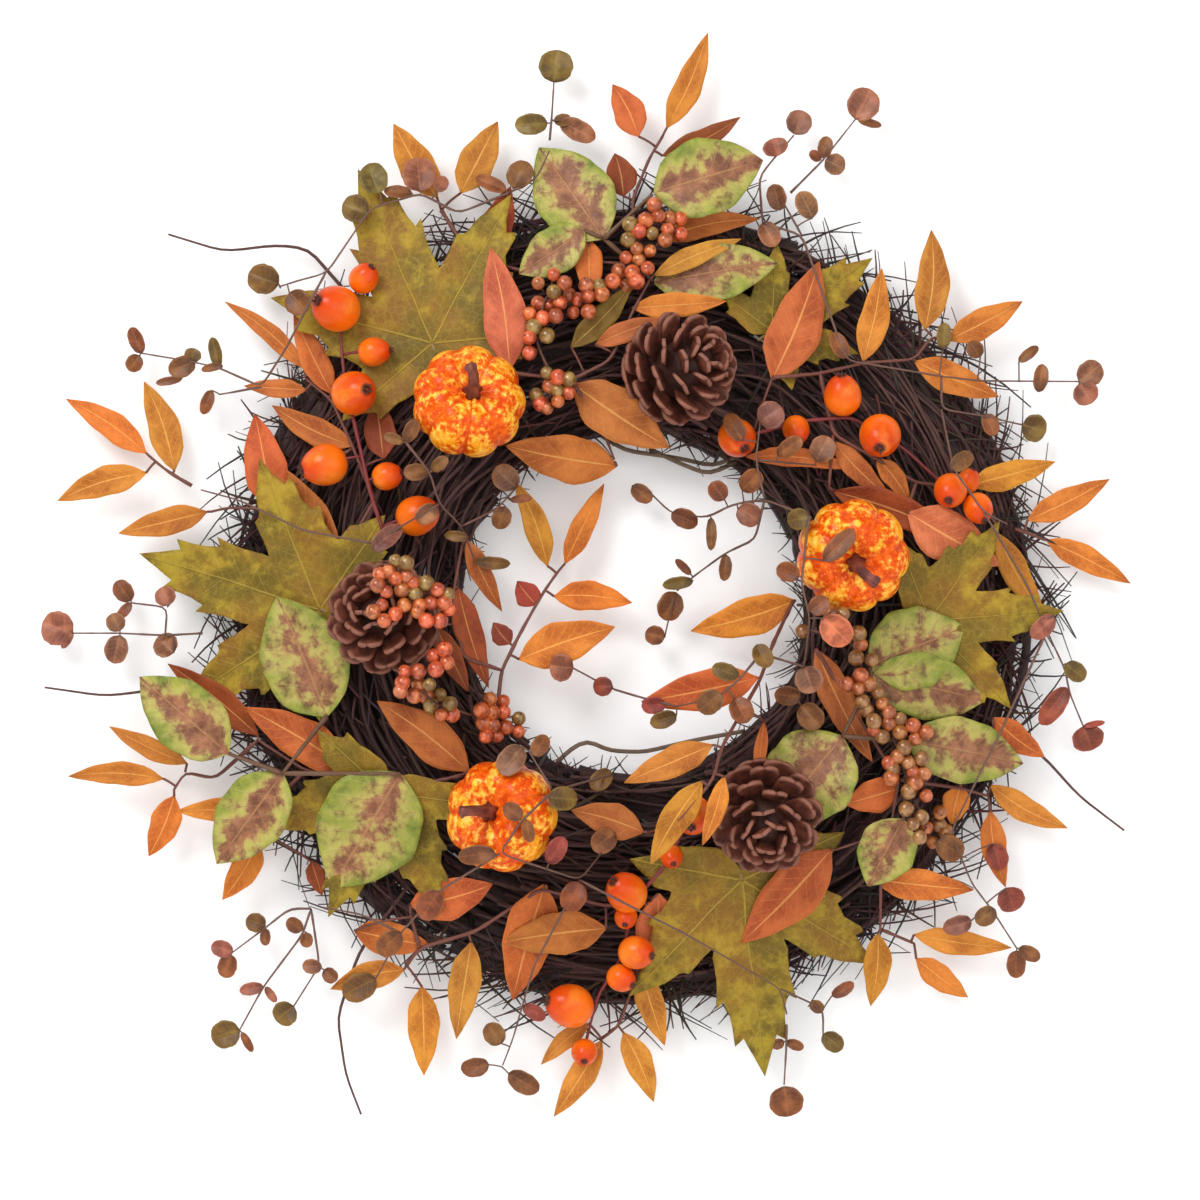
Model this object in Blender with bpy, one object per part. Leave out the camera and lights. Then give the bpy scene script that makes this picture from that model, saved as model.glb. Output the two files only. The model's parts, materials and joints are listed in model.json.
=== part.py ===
"""Harvest door wreath: a wire hoop wrapped in dark twigs, dressed with artificial autumn picks.

The wreath hangs upright: X is across the door, Z is up, and its face looks along -Y. The door plane is
y = 0 and the origin is the point of the ring's top that rests on the door hook. Placements below are in
millimetres from the middle of the ring, seen from the front: x to the right, z up, and "height" is how
far in front of the door plane a thing lies.

Everything is laid on from back to front. A height map remembers how high the dressing stands so far,
so each leaf, berry and stem rests just in front of what is behind it.
"""
import math
import random

import bmesh
import bpy
import numpy as np
from mathutils import Matrix, Vector

MM = 0.001

# Ring and hoop
RING_INNER_R = 80.0
RING_OUTER_R = 178.0
RING_CREST_H = 27.0
HOOP_R = 112.0
HOOP_WIRE_R = 1.6
CHANNEL_FIT = 0.6
CHANNEL_DEPTH = 8.0
BUNDLE_COUNT = 6
BUNDLE_GAP = 0.5
NECK_DEPTH = 2.6
BINDING_WIRE_R = 0.7
BINDING_FIT = 0.6
TWIG_R = 1.2

# Laying on
CLEARANCE = 0.6
AIR_HEIGHT = 9.0
LEAF_THICKNESS = 1.2
PETIOLE_R = 0.9
STEM_R = 1.1
WIRE_R = 0.8
SNAP_REACH = 3.0
PETIOLE_REACH = 12.0
ROOT_R = 0.5
KNUCKLE_R = 1.7
CRUMB_MM3 = 3.0
UNEVEN = 0.02

# Fruit
PUMPKIN_R = 26.0
PUMPKIN_HALF_DEPTH = 19.0
PUMPKIN_LOBES = 8
PUMPKIN_STEM_LENGTH = 15.0
PUMPKIN_STEM_R = 3.6
CONE_RINGS = 7
BERRY_R = 4.7

# Leaf half widths along the leaf, as fractions of its length and of half its width
LAUREL_SHAPE = ((0.0, 0.12), (0.24, 0.86), (0.64, 0.9))
COIN_SHAPE = ((0.18, 0.84), (0.68, 0.98))
MAGNOLIA_SHAPE = ((0.0, 0.15), (0.16, 0.78), (0.42, 1.0), (0.75, 0.68))

# A maple leaf's outline: angle from the middle lobe and reach as a fraction of that lobe
MAPLE_HALF = (
    (0, 1.0), (9, 0.74), (17, 0.78), (24, 0.52), (40, 0.62), (52, 0.84), (62, 0.56),
    (76, 0.44), (92, 0.40), (108, 0.56), (124, 0.36), (150, 0.22),
)

# Each leaf: base x, base z, tip x, tip z, width
LAUREL_LEFT = [
    (-151, 109, -188, 140, 9), (-138, 97, -156, 134, 13), (-150, 99, -179, 101, 9),
    (-128, 73, -166, 92, 13), (-166, 45, -174, 88, 20), (-135, 20, -164, 66, 16),
    (-196, 43, -237, 33, 13), (-114, 67, -118, 95, 15),
]
LAUREL_TOP = [
    (-70, 158, -56, 193, 16), (-90, 188, -110, 222, 17), (-79, 190, -62, 223, 17),
    (-20, 168, -19, 140, 13), (3, 216, -9, 240, 15), (16, 220, 35, 264, 13), (14, 207, 50, 225, 11),
    (-4, 188, -8, 208, 15), (12, 168, 59, 178, 12),
]
LAUREL_INNER_TOP = [
    (-56, 108, -65, 164, 20), (-27, 101, 17, 72, 24), (-7, 64, -58, 73, 22), (0, 136, 43, 139, 12),
    (10, 151, 50, 168, 10), (-17, 119, 16, 131, 10),
]
LAUREL_RIGHT = [
    (64, 103, 86, 158, 24), (106, 112, 115, 155, 14), (135, 127, 138, 173, 16), (146, 122, 180, 140, 14),
    (130, 112, 169, 96, 15), (92, 75, 118, 49, 11), (112, 67, 127, 47, 10), (92, 52, 146, 30, 16),
    (126, 42, 168, 18, 24), (155, 55, 195, 66, 13), (168, 33, 190, -5, 13), (52, 68, 103, 62, 9),
]
LAUREL_LOWER_LEFT = [
    (-172, -60, -214, -27, 14), (-130, -75, -178, -47, 20), (-172, -108, -189, -136, 14),
    (-170, -97, -210, -95, 12), (-75, -76, -117, -44, 20), (-148, -118, -143, -134, 9),
    (-205, -73, -241, -56, 10), (-216, -80, -260, -79, 11), (-211, -88, -223, -116, 14),
]
LAUREL_BOTTOM = [
    (-40, -128, -55, -182, 24), (-12, -148, -60, -155, 20), (-102, -138, -64, -128, 20),
    (-128, -150, -93, -157, 16), (-105, -168, -139, -177, 13), (-97, -176, -96, -217, 15),
    (-74, -155, -81, -200, 15), (12, -132, 12, -176, 20), (4, -168, 15, -203, 13),
    (-4, -197, 10, -229, 13), (-14, -201, -36, -236, 13), (-20, -193, -42, -212, 9),
]
LAUREL_INNER_LOW = [
    (75, 2, 27, -12, 18), (57, -33, 4, -44, 19), (36, -63, -4, -80, 14), (31, -79, 8, -117, 14),
    (41, -77, 31, -108, 9), (5, -104, -28, -94, 16),
]
LAUREL_LOWER_RIGHT = [
    (84, -20, 110, -72, 15), (122, -84, 97, -91, 16), (91, -112, 50, -155, 25),
    (111, -126, 157, -131, 15), (151, -83, 147, -101, 13), (165, -83, 201, -103, 12),
    (166, -52, 190, -70, 13), (165, -95, 172, -130, 12), (113, -151, 110, -185, 13),
    (130, -152, 175, -158, 12), (131, -163, 155, -181, 12),
]
LAUREL_HANGING = [
    (-39, 18, -54, 57, 12), (-31, 19, -13, 56, 11), (-36, 4, 0, 1, 14), (-52, -25, -8, -10, 20),
    (-76, 30, -60, -3, 10), (-80, 8, -66, -38, 13), (-44, 0, -53, 11, 12), (-56, -18, -64, -8, 10),
]
GOLD_LEFT = [(-224, 70, -261, 95, 13), (-211, 62, -225, 103, 15), (-224, 61, -265, 48, 14)]
GOLD_RIGHT = [(182, 39, 220, 58, 13), (191, 30, 230, 10, 12)]

MAGNOLIA_TOP = [
    (-13, 168, -43, 211, 36), (10, 189, 60, 204, 36), (10, 148, 67, 157, 27), (-22, 172, -52, 152, 22),
]
MAGNOLIA_LEFT = [
    (-140, -51, -163, 4, 40), (-185, -68, -226, -33, 32), (-160, -77, -191, -119, 32),
    (-106, -77, -138, -130, 48),
]
MAGNOLIA_RIGHT = [
    (108, -28, 152, -10, 38), (110, -32, 162, -44, 30), (96, -60, 64, -100, 42), (126, -62, 180, -73, 30),
    (124, -98, 108, -129, 27),
]

# Each maple leaf: middle x, middle z, length of the middle lobe, its direction in degrees, side reach
MAPLES = [
    (-92, 120, 88, 113, 0.98), (-143, -2, 88, 163, 0.95), (-113, -86, 64, 245, 1.05),
    (50, -126, 92, 277, 0.9), (136, -7, 62, 4, 1.0), (64, 126, 58, 36, 0.8),
]

# Small round leaves on wired stems
COIN_TOP = [
    (-36, 241, -34, 256, 16), (-39, 222, -54, 221, 10), (-36, 223, -28, 224, 6), (-33, 223, -17, 215, 10),
]
COIN_TOP_RIGHT = [(103, 224, 110, 238, 15), (88, 206, 90, 216, 7), (89, 205, 98, 201, 10)]
COIN_BOTTOM = [(70, -222, 72, -236, 16)]
COIN_LEFT = [
    (-258, -13, -272, -8, 16), (-236, -12, -240, -4, 9), (-236, -14, -239, -27, 11),
    (-231, 2, -238, 11, 9), (-213, 0, -217, 8, 10), (-211, -22, -219, -15, 12),
]
COIN_LOW_LEFT = [
    (-169, -148, -178, -145, 9), (-184, -160, -194, -157, 8), (-185, -161, -188, -172, 9),
    (-152, -150, -159, -145, 7), (-150, -151, -150, -158, 6), (-170, -176, -181, -178, 6),
    (-181, -196, -194, -200, 13), (-143, -167, -152, -166, 7), (-142, -168, -136, -173, 7),
    (-156, -185, -164, -192, 12),
]
COIN_UPPER_LEFT = [
    (-121, 180, -133, 184, 13), (-116, 189, -121, 203, 13), (-101, 189, -114, 190, 6),
    (-97, 190, -99, 206, 16), (-90, 190, -86, 197, 7), (-58, 191, -72, 197, 7), (-55, 192, -48, 204, 12),
    (-163, 148, -177, 153, 14), (-157, 143, -149, 134, 12), (-226, 116, -231, 128, 7),
    (-227, 115, -232, 108, 8), (-201, 112, -213, 107, 10), (-203, 112, -201, 118, 8),
    (-190, 109, -193, 123, 6), (-194, 99, -198, 88, 6),
]
COIN_INNER_LEFT = [
    (-103, 74, -98, 84, 7), (-93, 61, -104, 60, 8), (-91, 61, -84, 67, 6), (-89, 45, -98, 38, 9),
    (-118, 25, -105, 36, 9), (-72, 20, -56, 19, 6), (-53, 54, -63, 63, 12), (-58, 45, -62, 35, 9),
]
COIN_LOW = [
    (-50, -64, -60, -76, 12), (-45, -68, -39, -59, 8), (-38, -87, -25, -88, 11), (-50, -96, -58, -90, 8),
    (-48, -97, -46, -107, 6), (-62, -112, -79, -114, 9), (-38, -117, -31, -105, 9),
    (-10, -76, -19, -84, 9), (-24, -126, -30, -139, 12), (-8, -104, -18, -112, 11),
    (-88, -130, -96, -143, 12), (-106, -150, -116, -160, 11), (-118, -172, -133, -180, 13),
    (-60, -202, -67, -193, 10), (-66, -212, -79, -214, 9), (-57, -216, -43, -224, 10),
    (-50, -184, -40, -190, 7), (88, -198, 97, -205, 9), (88, -187, 82, -183, 6), (92, -180, 102, -174, 6),
]
COIN_RIGHT = [
    (206, 103, 216, 111, 12), (206, 102, 212, 93, 12), (187, 98, 189, 111, 7), (160, 114, 155, 121, 8),
    (163, 88, 167, 78, 8), (180, 83, 191, 80, 13), (208, -56, 212, -67, 15), (200, -38, 188, -55, 10),
    (199, -27, 208, -34, 9), (193, -5, 183, -15, 9), (177, -159, 177, -172, 9), (178, -158, 188, -163, 7),
    (167, -140, 158, -146, 9), (156, -145, 143, -149, 9), (172, -130, 176, -141, 13),
    (140, -108, 152, -115, 12), (166, -110, 170, -122, 10), (60, 176, 66, 165, 10),
    (83, 178, 77, 190, 10), (68, 182, 65, 194, 9), (98, 113, 92, 125, 8), (145, 62, 155, 69, 8),
    (143, 118, 144, 130, 7), (75, 217, 79, 228, 12), (67, 206, 64, 214, 12),
]
COIN_INNER_RIGHT = [
    (-27, -29, -38, -28, 13), (-9, -37, -18, -37, 9), (15, -45, 4, -46, 8), (20, -50, 8, -54, 8),
    (15, -15, 6, -13, 9), (43, 23, 42, 11, 6), (28, 11, 14, 9, 6), (20, 6, 15, -7, 12), (0, 55, 9, 48, 8),
    (18, 42, 30, 37, 9), (42, 48, 36, 56, 9), (48, 44, 58, 38, 11), (50, 52, 58, 61, 10),
    (50, 75, 43, 87, 9), (58, 83, 68, 90, 13), (66, 68, 77, 76, 8), (84, 66, 90, 77, 12),
    (80, 40, 70, 38, 10), (86, 20, 100, 34, 9), (75, 13, 65, 17, 9), (80, -3, 88, 4, 9),
    (86, -6, 98, -17, 14), (78, -28, 82, -40, 13), (77, -42, 65, -41, 9), (77, -46, 86, -56, 12),
    (56, -18, 62, -28, 9), (48, -32, 36, -28, 8), (40, -40, 30, -48, 11), (46, -42, 52, -53, 11),
]

# Rose-hip sprays: x, z, radius
HIPS_LEFT = [
    (-136, 136, 11), (-123, 150, 7), (-118, 116, 7), (-127, 97, 10.5), (-141, 64, 10), (-112, 59, 6.7),
    (-98, 41, 9.5),
]
HIPS_RIGHT = [
    (96, 96, 9), (48, 76, 9), (75, 80, 6.5), (113, 77, 10), (145, 52, 8), (154, 57, 5.5), (158, 44, 7),
]
HIPS_BOTTOM = [
    (27, -95, 9), (18, -115, 5.5), (-3, -131, 9.5), (-3, -143, 5.5), (2, -159, 8), (-5, -171, 6.5),
    (-29, -184, 10.5), (-22, -206, 6.3),
]

# Small berries: x, z
BERRIES_TOP = [
    (-46, 118), (-38, 127), (-44, 137), (-40, 149), (-28, 141), (-16, 144), (-4, 148), (-1, 159),
    (9, 164), (2, 175), (18, 174), (-33, 103), (-42, 94), (-31, 94),
]
BERRIES_LEFT = [
    (-106, 18), (-114, 9), (-101, 9), (-89, 4), (-97, -3), (-110, -5), (-87, -23), (-98, -32),
    (-103, -42), (-91, -44), (-67, -48), (-57, -46), (-66, -58), (-55, -58),
]
BERRIES_RIGHT = [
    (79, -11), (92, -6), (104, -19), (103, -33), (112, -44), (123, -54), (113, -58), (131, -62),
    (119, -71), (130, -75), (126, -86), (138, -92), (129, -99), (141, -104),
]

# Stems as runs of points seen from the front; each run after the first starts on an earlier one
STEMS = {
    "laurel_spray_left": [
        [(-118, 48), (-128, 72), (-138, 94), (-150, 104)],
        [(-128, 72), (-160, 52), (-168, 44), (-186, 45), (-194, 43)],
        [(-118, 48), (-133, 22)],
    ],
    "laurel_spray_top": [
        [(-88, 182), (-74, 160), (-45, 152), (-20, 158), (2, 156), (12, 166)],
        [(2, 156), (0, 186), (8, 206), (14, 216)],
    ],
    "laurel_spray_inner_top": [
        [(-54, 106), (-28, 103), (-10, 112), (0, 134), (8, 149)], [(-28, 103), (-14, 82), (-8, 66)],
    ],
    "laurel_spray_right": [
        [(64, 104), (86, 106), (106, 111), (130, 113), (138, 124), (145, 122)],
        [(86, 106), (92, 78), (110, 68), (130, 56), (154, 54), (168, 36)], [(92, 78), (90, 54)],
        [(130, 56), (126, 44)],
    ],
    "laurel_spray_lower_left": [
        [(-78, -78), (-104, -84), (-128, -78), (-150, -76), (-172, -62)],
        [(-150, -76), (-166, -92), (-172, -105)], [(-172, -62), (-192, -80), (-206, -77), (-211, -85)],
    ],
    "laurel_spray_bottom": [
        [(-104, -166), (-98, -158), (-72, -150), (-42, -130), (-12, -138), (8, -136), (4, -164), (-6, -194),
         (-14, -200)],
        [(-98, -158), (-102, -142)],
    ],
    "laurel_spray_inner_low": [[(74, 2), (64, -18), (58, -34), (40, -64), (36, -78), (20, -98), (7, -104)]],
    "laurel_spray_lower_right": [
        [(84, -20), (100, -46), (122, -80), (118, -104), (93, -112)], [(118, -104), (114, -126), (114, -149)],
        [(122, -80), (150, -84), (164, -88)], [(150, -84), (166, -56)], [(114, -149), (130, -156)],
    ],
    "laurel_spray_hanging": [
        [(-62, -48), (-60, -30), (-51, -12), (-42, 4), (-36, 13), (-32, 18)],
        [(-60, -30), (-78, -24), (-82, 6), (-78, 28)],
    ],
    "gold_spray_left": [[(-203, 55), (-210, 59), (-216, 63), (-223, 69)]],
    "gold_spray_right": [[(176, 35), (183, 33), (190, 30)]],
    "coin_spray_top": [[(-38, 214), (-37, 225), (-36, 242)]],
    "coin_spray_top_right": [[(73, 190), (88, 205), (103, 224)]],
    "coin_spray_bottom": [[(71, -193), (71, -203), (70, -222)]],
    "coin_spray_left": [
        [(-198, -13), (-215, -14), (-236, -13), (-258, -13)], [(-215, -14), (-214, -1), (-231, 1)],
    ],
    "coin_spray_lower_left": [
        [(-148, -140), (-158, -140), (-168, -148), (-184, -160)],
        [(-148, -140), (-152, -152), (-170, -176), (-181, -196)], [(-148, -140), (-144, -166), (-156, -185)],
    ],
    "coin_spray_upper_left": [
        [(-56, 190), (-80, 180), (-97, 189), (-120, 182), (-140, 152), (-162, 146)],
        [(-140, 152), (-158, 118), (-170, 100), (-190, 109), (-203, 112), (-226, 116)],
        [(-170, 100), (-190, 97)], [(-56, 190), (-44, 196), (-38, 209)],
    ],
    "coin_spray_inner_left": [
        [(-103, 74), (-92, 60), (-88, 46), (-78, 36), (-72, 20)], [(-78, 36), (-62, 44), (-54, 53)],
        [(-88, 46), (-118, 28)], [(-118, 28), (-150, 34), (-180, 48), (-198.5, 53)],
    ],
    "coin_spray_low": [
        [(-10, -78), (-36, -84), (-50, -97), (-60, -112), (-40, -119), (-24, -125), (-8, -106)],
        [(-36, -84), (-47, -66)], [(-60, -112), (-88, -130), (-106, -150), (-118, -172)],
        [(-24, -125), (-45, -165), (-55, -200), (-60, -213)],
        [(-24, -125), (24, -150), (68, -176), (71, -188)],
        [(68, -176), (88, -186), (88, -197)], [(-106, -150), (-124, -142), (-143, -139)],
    ],
    "coin_spray_right": [
        [(60, 176), (78, 170), (98, 112), (142, 105), (160, 103), (206, 103)], [(78, 170), (70, 185)],
        [(142, 105), (142, 90), (162, 87), (180, 83)], [(142, 90), (146, 62), (160, 42), (171, 37)],
        [(160, 42), (180, 10), (190, -12), (199, -30), (201, -40), (208, -56)],
        [(190, -12), (168, -60), (146, -104), (156, -128), (166, -141), (177, -158)],
        [(60, 176), (58, 196), (66, 206), (75, 217)],
    ],
    "coin_spray_inner_right": [
        [(80, 40), (78, 28), (76, 10), (80, -6), (78, -28), (76, -44)],
        [(80, 40), (60, 48), (46, 46), (34, 40), (18, 42), (6, 54)], [(60, 48), (56, 66), (58, 82)],
        [(60, 48), (56, 30), (43, 24), (28, 13), (20, 6)],
        [(78, -28), (58, -22), (48, -34), (38, -42), (20, -46)],
        [(20, -46), (4, -42), (-10, -38), (-27, -29)], [(56, 66), (84, 64)],
    ],
    "hip_spray_left": [[(-114, 34), (-120, 52), (-126, 78), (-132, 104), (-134, 126), (-126, 146)]],
    "hip_spray_right": [[(48, 76), (76, 84), (100, 86), (124, 72), (146, 52), (156, 48)]],
    "hip_spray_bottom": [[(27, -95), (16, -118), (0, -136), (-4, -160), (-16, -180), (-22, -204)]],
    "berry_spray_top": [
        [(-44, 98), (-34, 98), (-44, 120), (-40, 142), (-28, 140), (-12, 146), (0, 152), (2, 168), (18, 174)],
    ],
    "berry_spray_left": [
        [(-116, 0), (-106, 12), (-94, 4), (-88, -10), (-88, -26), (-100, -34), (-90, -45), (-68, -52),
         (-54, -54)],
    ],
    "berry_spray_right": [
        [(79, -11), (100, -16), (108, -38), (118, -56), (124, -76), (132, -96), (140, -104)],
    ],
}

LOOSE_TWIGS = {
    3: [[(-214, 171), (-188, 163), (-165, 166), (-150, 165), (-128, 140), (-110, 118)]],
    4: [
        [(-271, -38), (-243, -42), (-226, -40), (-190, -34), (-150, -24)],
        [(-125, -235), (-132, -217), (-136, -190), (-126, -160), (-96, -120)],
    ],
    6: [[(227, -104), (206, -88), (190, -70), (164, -52), (130, -40)]],
}

PUMPKINS = [
    ((-74.5, 92.5), (0.06, 0.30), (-0.05, 1.0)),
    ((100, 22.5), (0.22, -0.24), (0.62, -0.78)),
    ((-59.5, -95.5), (-0.40, 0.03), (-1.0, 0.05)),
]
CONES = [
    ((22, 108), 52, 25, (0.62, 0.20)),
    ((-113, -5), 46, 27, (-0.20, 0.16)),
    ((60, -96), 48, 25, (0.02, -0.34)),
]


def spot(x, z, height):
    """Point of the part: x and z from the ring's middle, height in front of the door plane."""
    return Vector((x * MM, -height * MM, (z - RING_INNER_R) * MM))


def clear_scene():
    """Take away whatever the file starts with."""
    for thing in list(bpy.data.objects):
        bpy.data.objects.remove(thing, do_unlink=True)


def paint(name, colour, roughness, metallic=0.0):
    """A plain material."""
    material = bpy.data.materials.new(name)
    material.use_nodes = True
    shader = material.node_tree.nodes["Principled BSDF"]
    shader.inputs["Base Color"].default_value = (*colour, 1.0)
    shader.inputs["Roughness"].default_value = roughness
    shader.inputs["Metallic"].default_value = metallic
    return material


def loft(rings, tip=None, tail=None):
    """Closed mesh through rings of points, ending in a flat cap or a point at either end."""
    mesh = bmesh.new()
    loops = [[mesh.verts.new(point) for point in ring] for ring in rings]
    for low, high in zip(loops, loops[1:]):
        for i in range(len(low)):
            j = (i + 1) % len(low)
            mesh.faces.new((low[i], low[j], high[j], high[i]))
    for loop, end in ((loops[0], tail), (loops[-1], tip)):
        if end is None:
            mesh.faces.new(loop)
            continue
        point = mesh.verts.new(end)
        for i in range(len(loop)):
            mesh.faces.new((loop[i], loop[(i + 1) % len(loop)], point))
    bmesh.ops.recalc_face_normals(mesh, faces=mesh.faces[:])
    bmesh.ops.triangulate(mesh, faces=mesh.faces[:])
    data = bpy.data.meshes.new("loft")
    mesh.to_mesh(data)
    mesh.free()
    return data


def tube(points, radii, sides=4, turn=0.4):
    """Round bar along a run of points, with a radius at each."""
    rings = []
    normal = None
    for i, point in enumerate(points):
        before = points[max(i - 1, 0)]
        after = points[min(i + 1, len(points) - 1)]
        along = (after - before).normalized()
        if normal is None:
            guide = Vector((0, 0, 1)) if abs(along.z) < 0.8 else Vector((1, 0, 0))
            normal = along.cross(guide).normalized()
        normal = (normal - along * normal.dot(along)).normalized()
        side = along.cross(normal)
        ring = []
        for k in range(sides):
            angle = turn + math.tau * k / sides
            ring.append(point + (normal * math.cos(angle) + side * math.sin(angle)) * radii[i] * MM)
        rings.append(ring)
    return loft(rings)


def closed_tube(points, radius, sides=6):
    """Round bar along a closed run of points."""
    mesh = bmesh.new()
    count = len(points)
    loops = []
    for i in range(count):
        along = (points[(i + 1) % count] - points[i - 1]).normalized()
        out = (points[i] - sum(points, Vector()) / count)
        out = (out - along * out.dot(along)).normalized()
        side = along.cross(out)
        loop = []
        for k in range(sides):
            angle = math.tau * k / sides
            around = out * math.cos(angle) + side * math.sin(angle)
            loop.append(mesh.verts.new(points[i] + around * radius * MM))
        loops.append(loop)
    for i in range(count):
        low = loops[i]
        high = loops[(i + 1) % count]
        for k in range(sides):
            mesh.faces.new((low[k], low[(k + 1) % sides], high[(k + 1) % sides], high[k]))
    bmesh.ops.recalc_face_normals(mesh, faces=mesh.faces[:])
    data = bpy.data.meshes.new("loop")
    mesh.to_mesh(data)
    mesh.free()
    return data


def ball(centre, radius, sides=7, bands=5):
    """Faceted ball."""
    mesh = bmesh.new()
    bmesh.ops.create_uvsphere(mesh, u_segments=sides, v_segments=bands, radius=radius * MM)
    bmesh.ops.translate(mesh, verts=mesh.verts[:], vec=centre)
    bmesh.ops.triangulate(mesh, faces=mesh.faces[:])
    data = bpy.data.meshes.new("ball")
    mesh.to_mesh(data)
    mesh.free()
    return data


def add_object(name, data, material=None, smooth=False):
    """Put a mesh in the scene."""
    thing = bpy.data.objects.new(name, data)
    bpy.context.scene.collection.objects.link(thing)
    if material:
        data.materials.clear()
        data.materials.append(material)
    if smooth:
        data.shade_smooth()
    return thing


def fuse(name, meshes, material, smooth=False):
    """Join closed meshes that meet into one closed body; the joining is worked out in millimetres.

    The Manifold solver joins them, because the exact one drops thin leaves whose stalks cross.
    """
    rng = random.Random(7)
    for data in meshes:
        data.transform(Matrix.Scale(1 / MM, 4))
        for vertex in data.vertices:
            vertex.co += Vector([rng.uniform(-UNEVEN, UNEVEN) for _ in range(3)])
    thing = add_object(name, meshes[0])
    helpers = []
    for data in meshes[1:]:
        helper = add_object("helper", data)
        helper.hide_render = True
        helper.display_type = "WIRE"
        helpers.append(helper)
        union = thing.modifiers.new("union", "BOOLEAN")
        union.operation = "UNION"
        union.solver = "MANIFOLD"
        union.object = helper
    bpy.context.view_layer.update()
    solid = bpy.data.meshes.new_from_object(thing.evaluated_get(bpy.context.evaluated_depsgraph_get()))
    thing.modifiers.clear()
    for helper in helpers:
        bpy.data.objects.remove(helper, do_unlink=True)
    drop_crumbs(solid)
    solid.transform(Matrix.Scale(MM, 4))
    thing.data = solid
    solid.name = name
    solid.materials.clear()
    solid.materials.append(material)
    if smooth:
        solid.shade_smooth()
    return thing


def drop_crumbs(data):
    """Clear away the tiny loose bits and bubbles that crossing stalks leave behind."""
    work = bmesh.new()
    work.from_mesh(data)
    bmesh.ops.triangulate(work, faces=work.faces[:])
    seen = set()
    crumbs = []
    for start in work.faces:
        if start in seen:
            continue
        shell = {start}
        queue = [start]
        while queue:
            for edge in queue.pop().edges:
                for face in edge.link_faces:
                    if face not in shell:
                        shell.add(face)
                        queue.append(face)
        seen |= shell
        volume = sum(f.verts[0].co.dot(f.verts[1].co.cross(f.verts[2].co)) / 6 for f in shell)
        if abs(volume) < CRUMB_MM3:
            crumbs += shell
    bmesh.ops.delete(work, geom=crumbs, context="FACES")
    work.to_mesh(data)
    work.free()


class Ground:
    """How far in front of the door plane the dressing stands so far, on a millimetre grid."""

    SPAN = 300

    def __init__(self):
        side = np.arange(-self.SPAN, self.SPAN, 1.0)
        self.x, self.z = np.meshgrid(side, side, indexing="ij")
        self.height = np.full(self.x.shape, AIR_HEIGHT)

    def window(self, x_low, x_high, z_low, z_high):
        """Slice of the grid around a box."""
        first = int(max(x_low + self.SPAN, 0))
        last = int(min(x_high + self.SPAN + 2, 2 * self.SPAN))
        low = int(max(z_low + self.SPAN, 0))
        high = int(min(z_high + self.SPAN + 2, 2 * self.SPAN))
        return slice(first, last), slice(low, high)

    def spread(self, radius):
        """The ground grown sideways by a radius."""
        reach = int(math.ceil(radius))
        grown = self.height.copy()
        for i in range(-reach, reach + 1):
            for j in range(-reach, reach + 1):
                if i * i + j * j <= (reach + 0.5) ** 2:
                    grown = np.maximum(grown, np.roll(self.height, (i, j), (0, 1)))
        return grown

    def mark(self, points, radius):
        """Raise the ground to the top of a round bar through the points (x, z, height)."""
        for (x0, z0, h0), (x1, z1, h1) in zip(points, points[1:]):
            steps = max(1, int(math.hypot(x1 - x0, z1 - z0) / 0.8))
            for k in range(steps + 1):
                t = k / steps
                top = h0 + (h1 - h0) * t + radius
                self.mark_spot(x0 + (x1 - x0) * t, z0 + (z1 - z0) * t, top, radius + 1.2)

    def mark_spot(self, x, z, top, radius):
        """Raise the ground to a height within a radius."""
        part = self.window(x - radius - 1, x + radius + 1, z - radius - 1, z + radius + 1)
        near = (self.x[part] - x) ** 2 + (self.z[part] - z) ** 2 <= radius ** 2
        self.height[part] = np.where(near, np.maximum(self.height[part], top), self.height[part])


def ring_crest(radius):
    """Height of the bare twig ring at a radius."""
    return float(np.interp(radius, [p[0] for p in CREST], [p[1] for p in CREST]))


CREST = (
    (RING_INNER_R - 9, 9.0), (RING_INNER_R - 5, 16.0), (RING_INNER_R + 6, RING_CREST_H - 3),
    (RING_INNER_R + 24, RING_CREST_H), (RING_INNER_R + 48, RING_CREST_H), (RING_OUTER_R - 18, 17.0),
    (RING_OUTER_R + 6, 9.0), (RING_OUTER_R + 10, 7.0),
)


def lay_ring(ground):
    """Start the height map with the twig ring and its uneven surface."""
    radius = np.hypot(ground.x, ground.z)
    crest = np.interp(radius, [p[0] for p in CREST], [p[1] for p in CREST], left=0, right=0)
    ground.height = np.maximum(ground.height, crest + 2.8 * (crest > 0))


def leaf_field(ground, leaf, shape, margin):
    """Grid window round a leaf with its along and across coordinates, and what the leaf covers."""
    bx, bz, tx, tz, width = leaf
    length = math.hypot(tx - bx, tz - bz)
    reach = width / 2 + 3
    part = ground.window(min(bx, tx) - reach, max(bx, tx) + reach, min(bz, tz) - reach, max(bz, tz) + reach)
    ux, uz = (tx - bx) / length, (tz - bz) / length
    along = (ground.x[part] - bx) * ux + (ground.z[part] - bz) * uz
    across = (ground.z[part] - bz) * ux - (ground.x[part] - bx) * uz
    stations = [s for s, _ in shape] + [1.0]
    widths = [w for _, w in shape] + [0.0]
    half = np.interp(along / length, stations, widths) * width / 2
    cover = (along > -margin) & (along < length + margin) & (np.abs(across) <= half + margin)
    return part, along, across, cover, length


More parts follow.
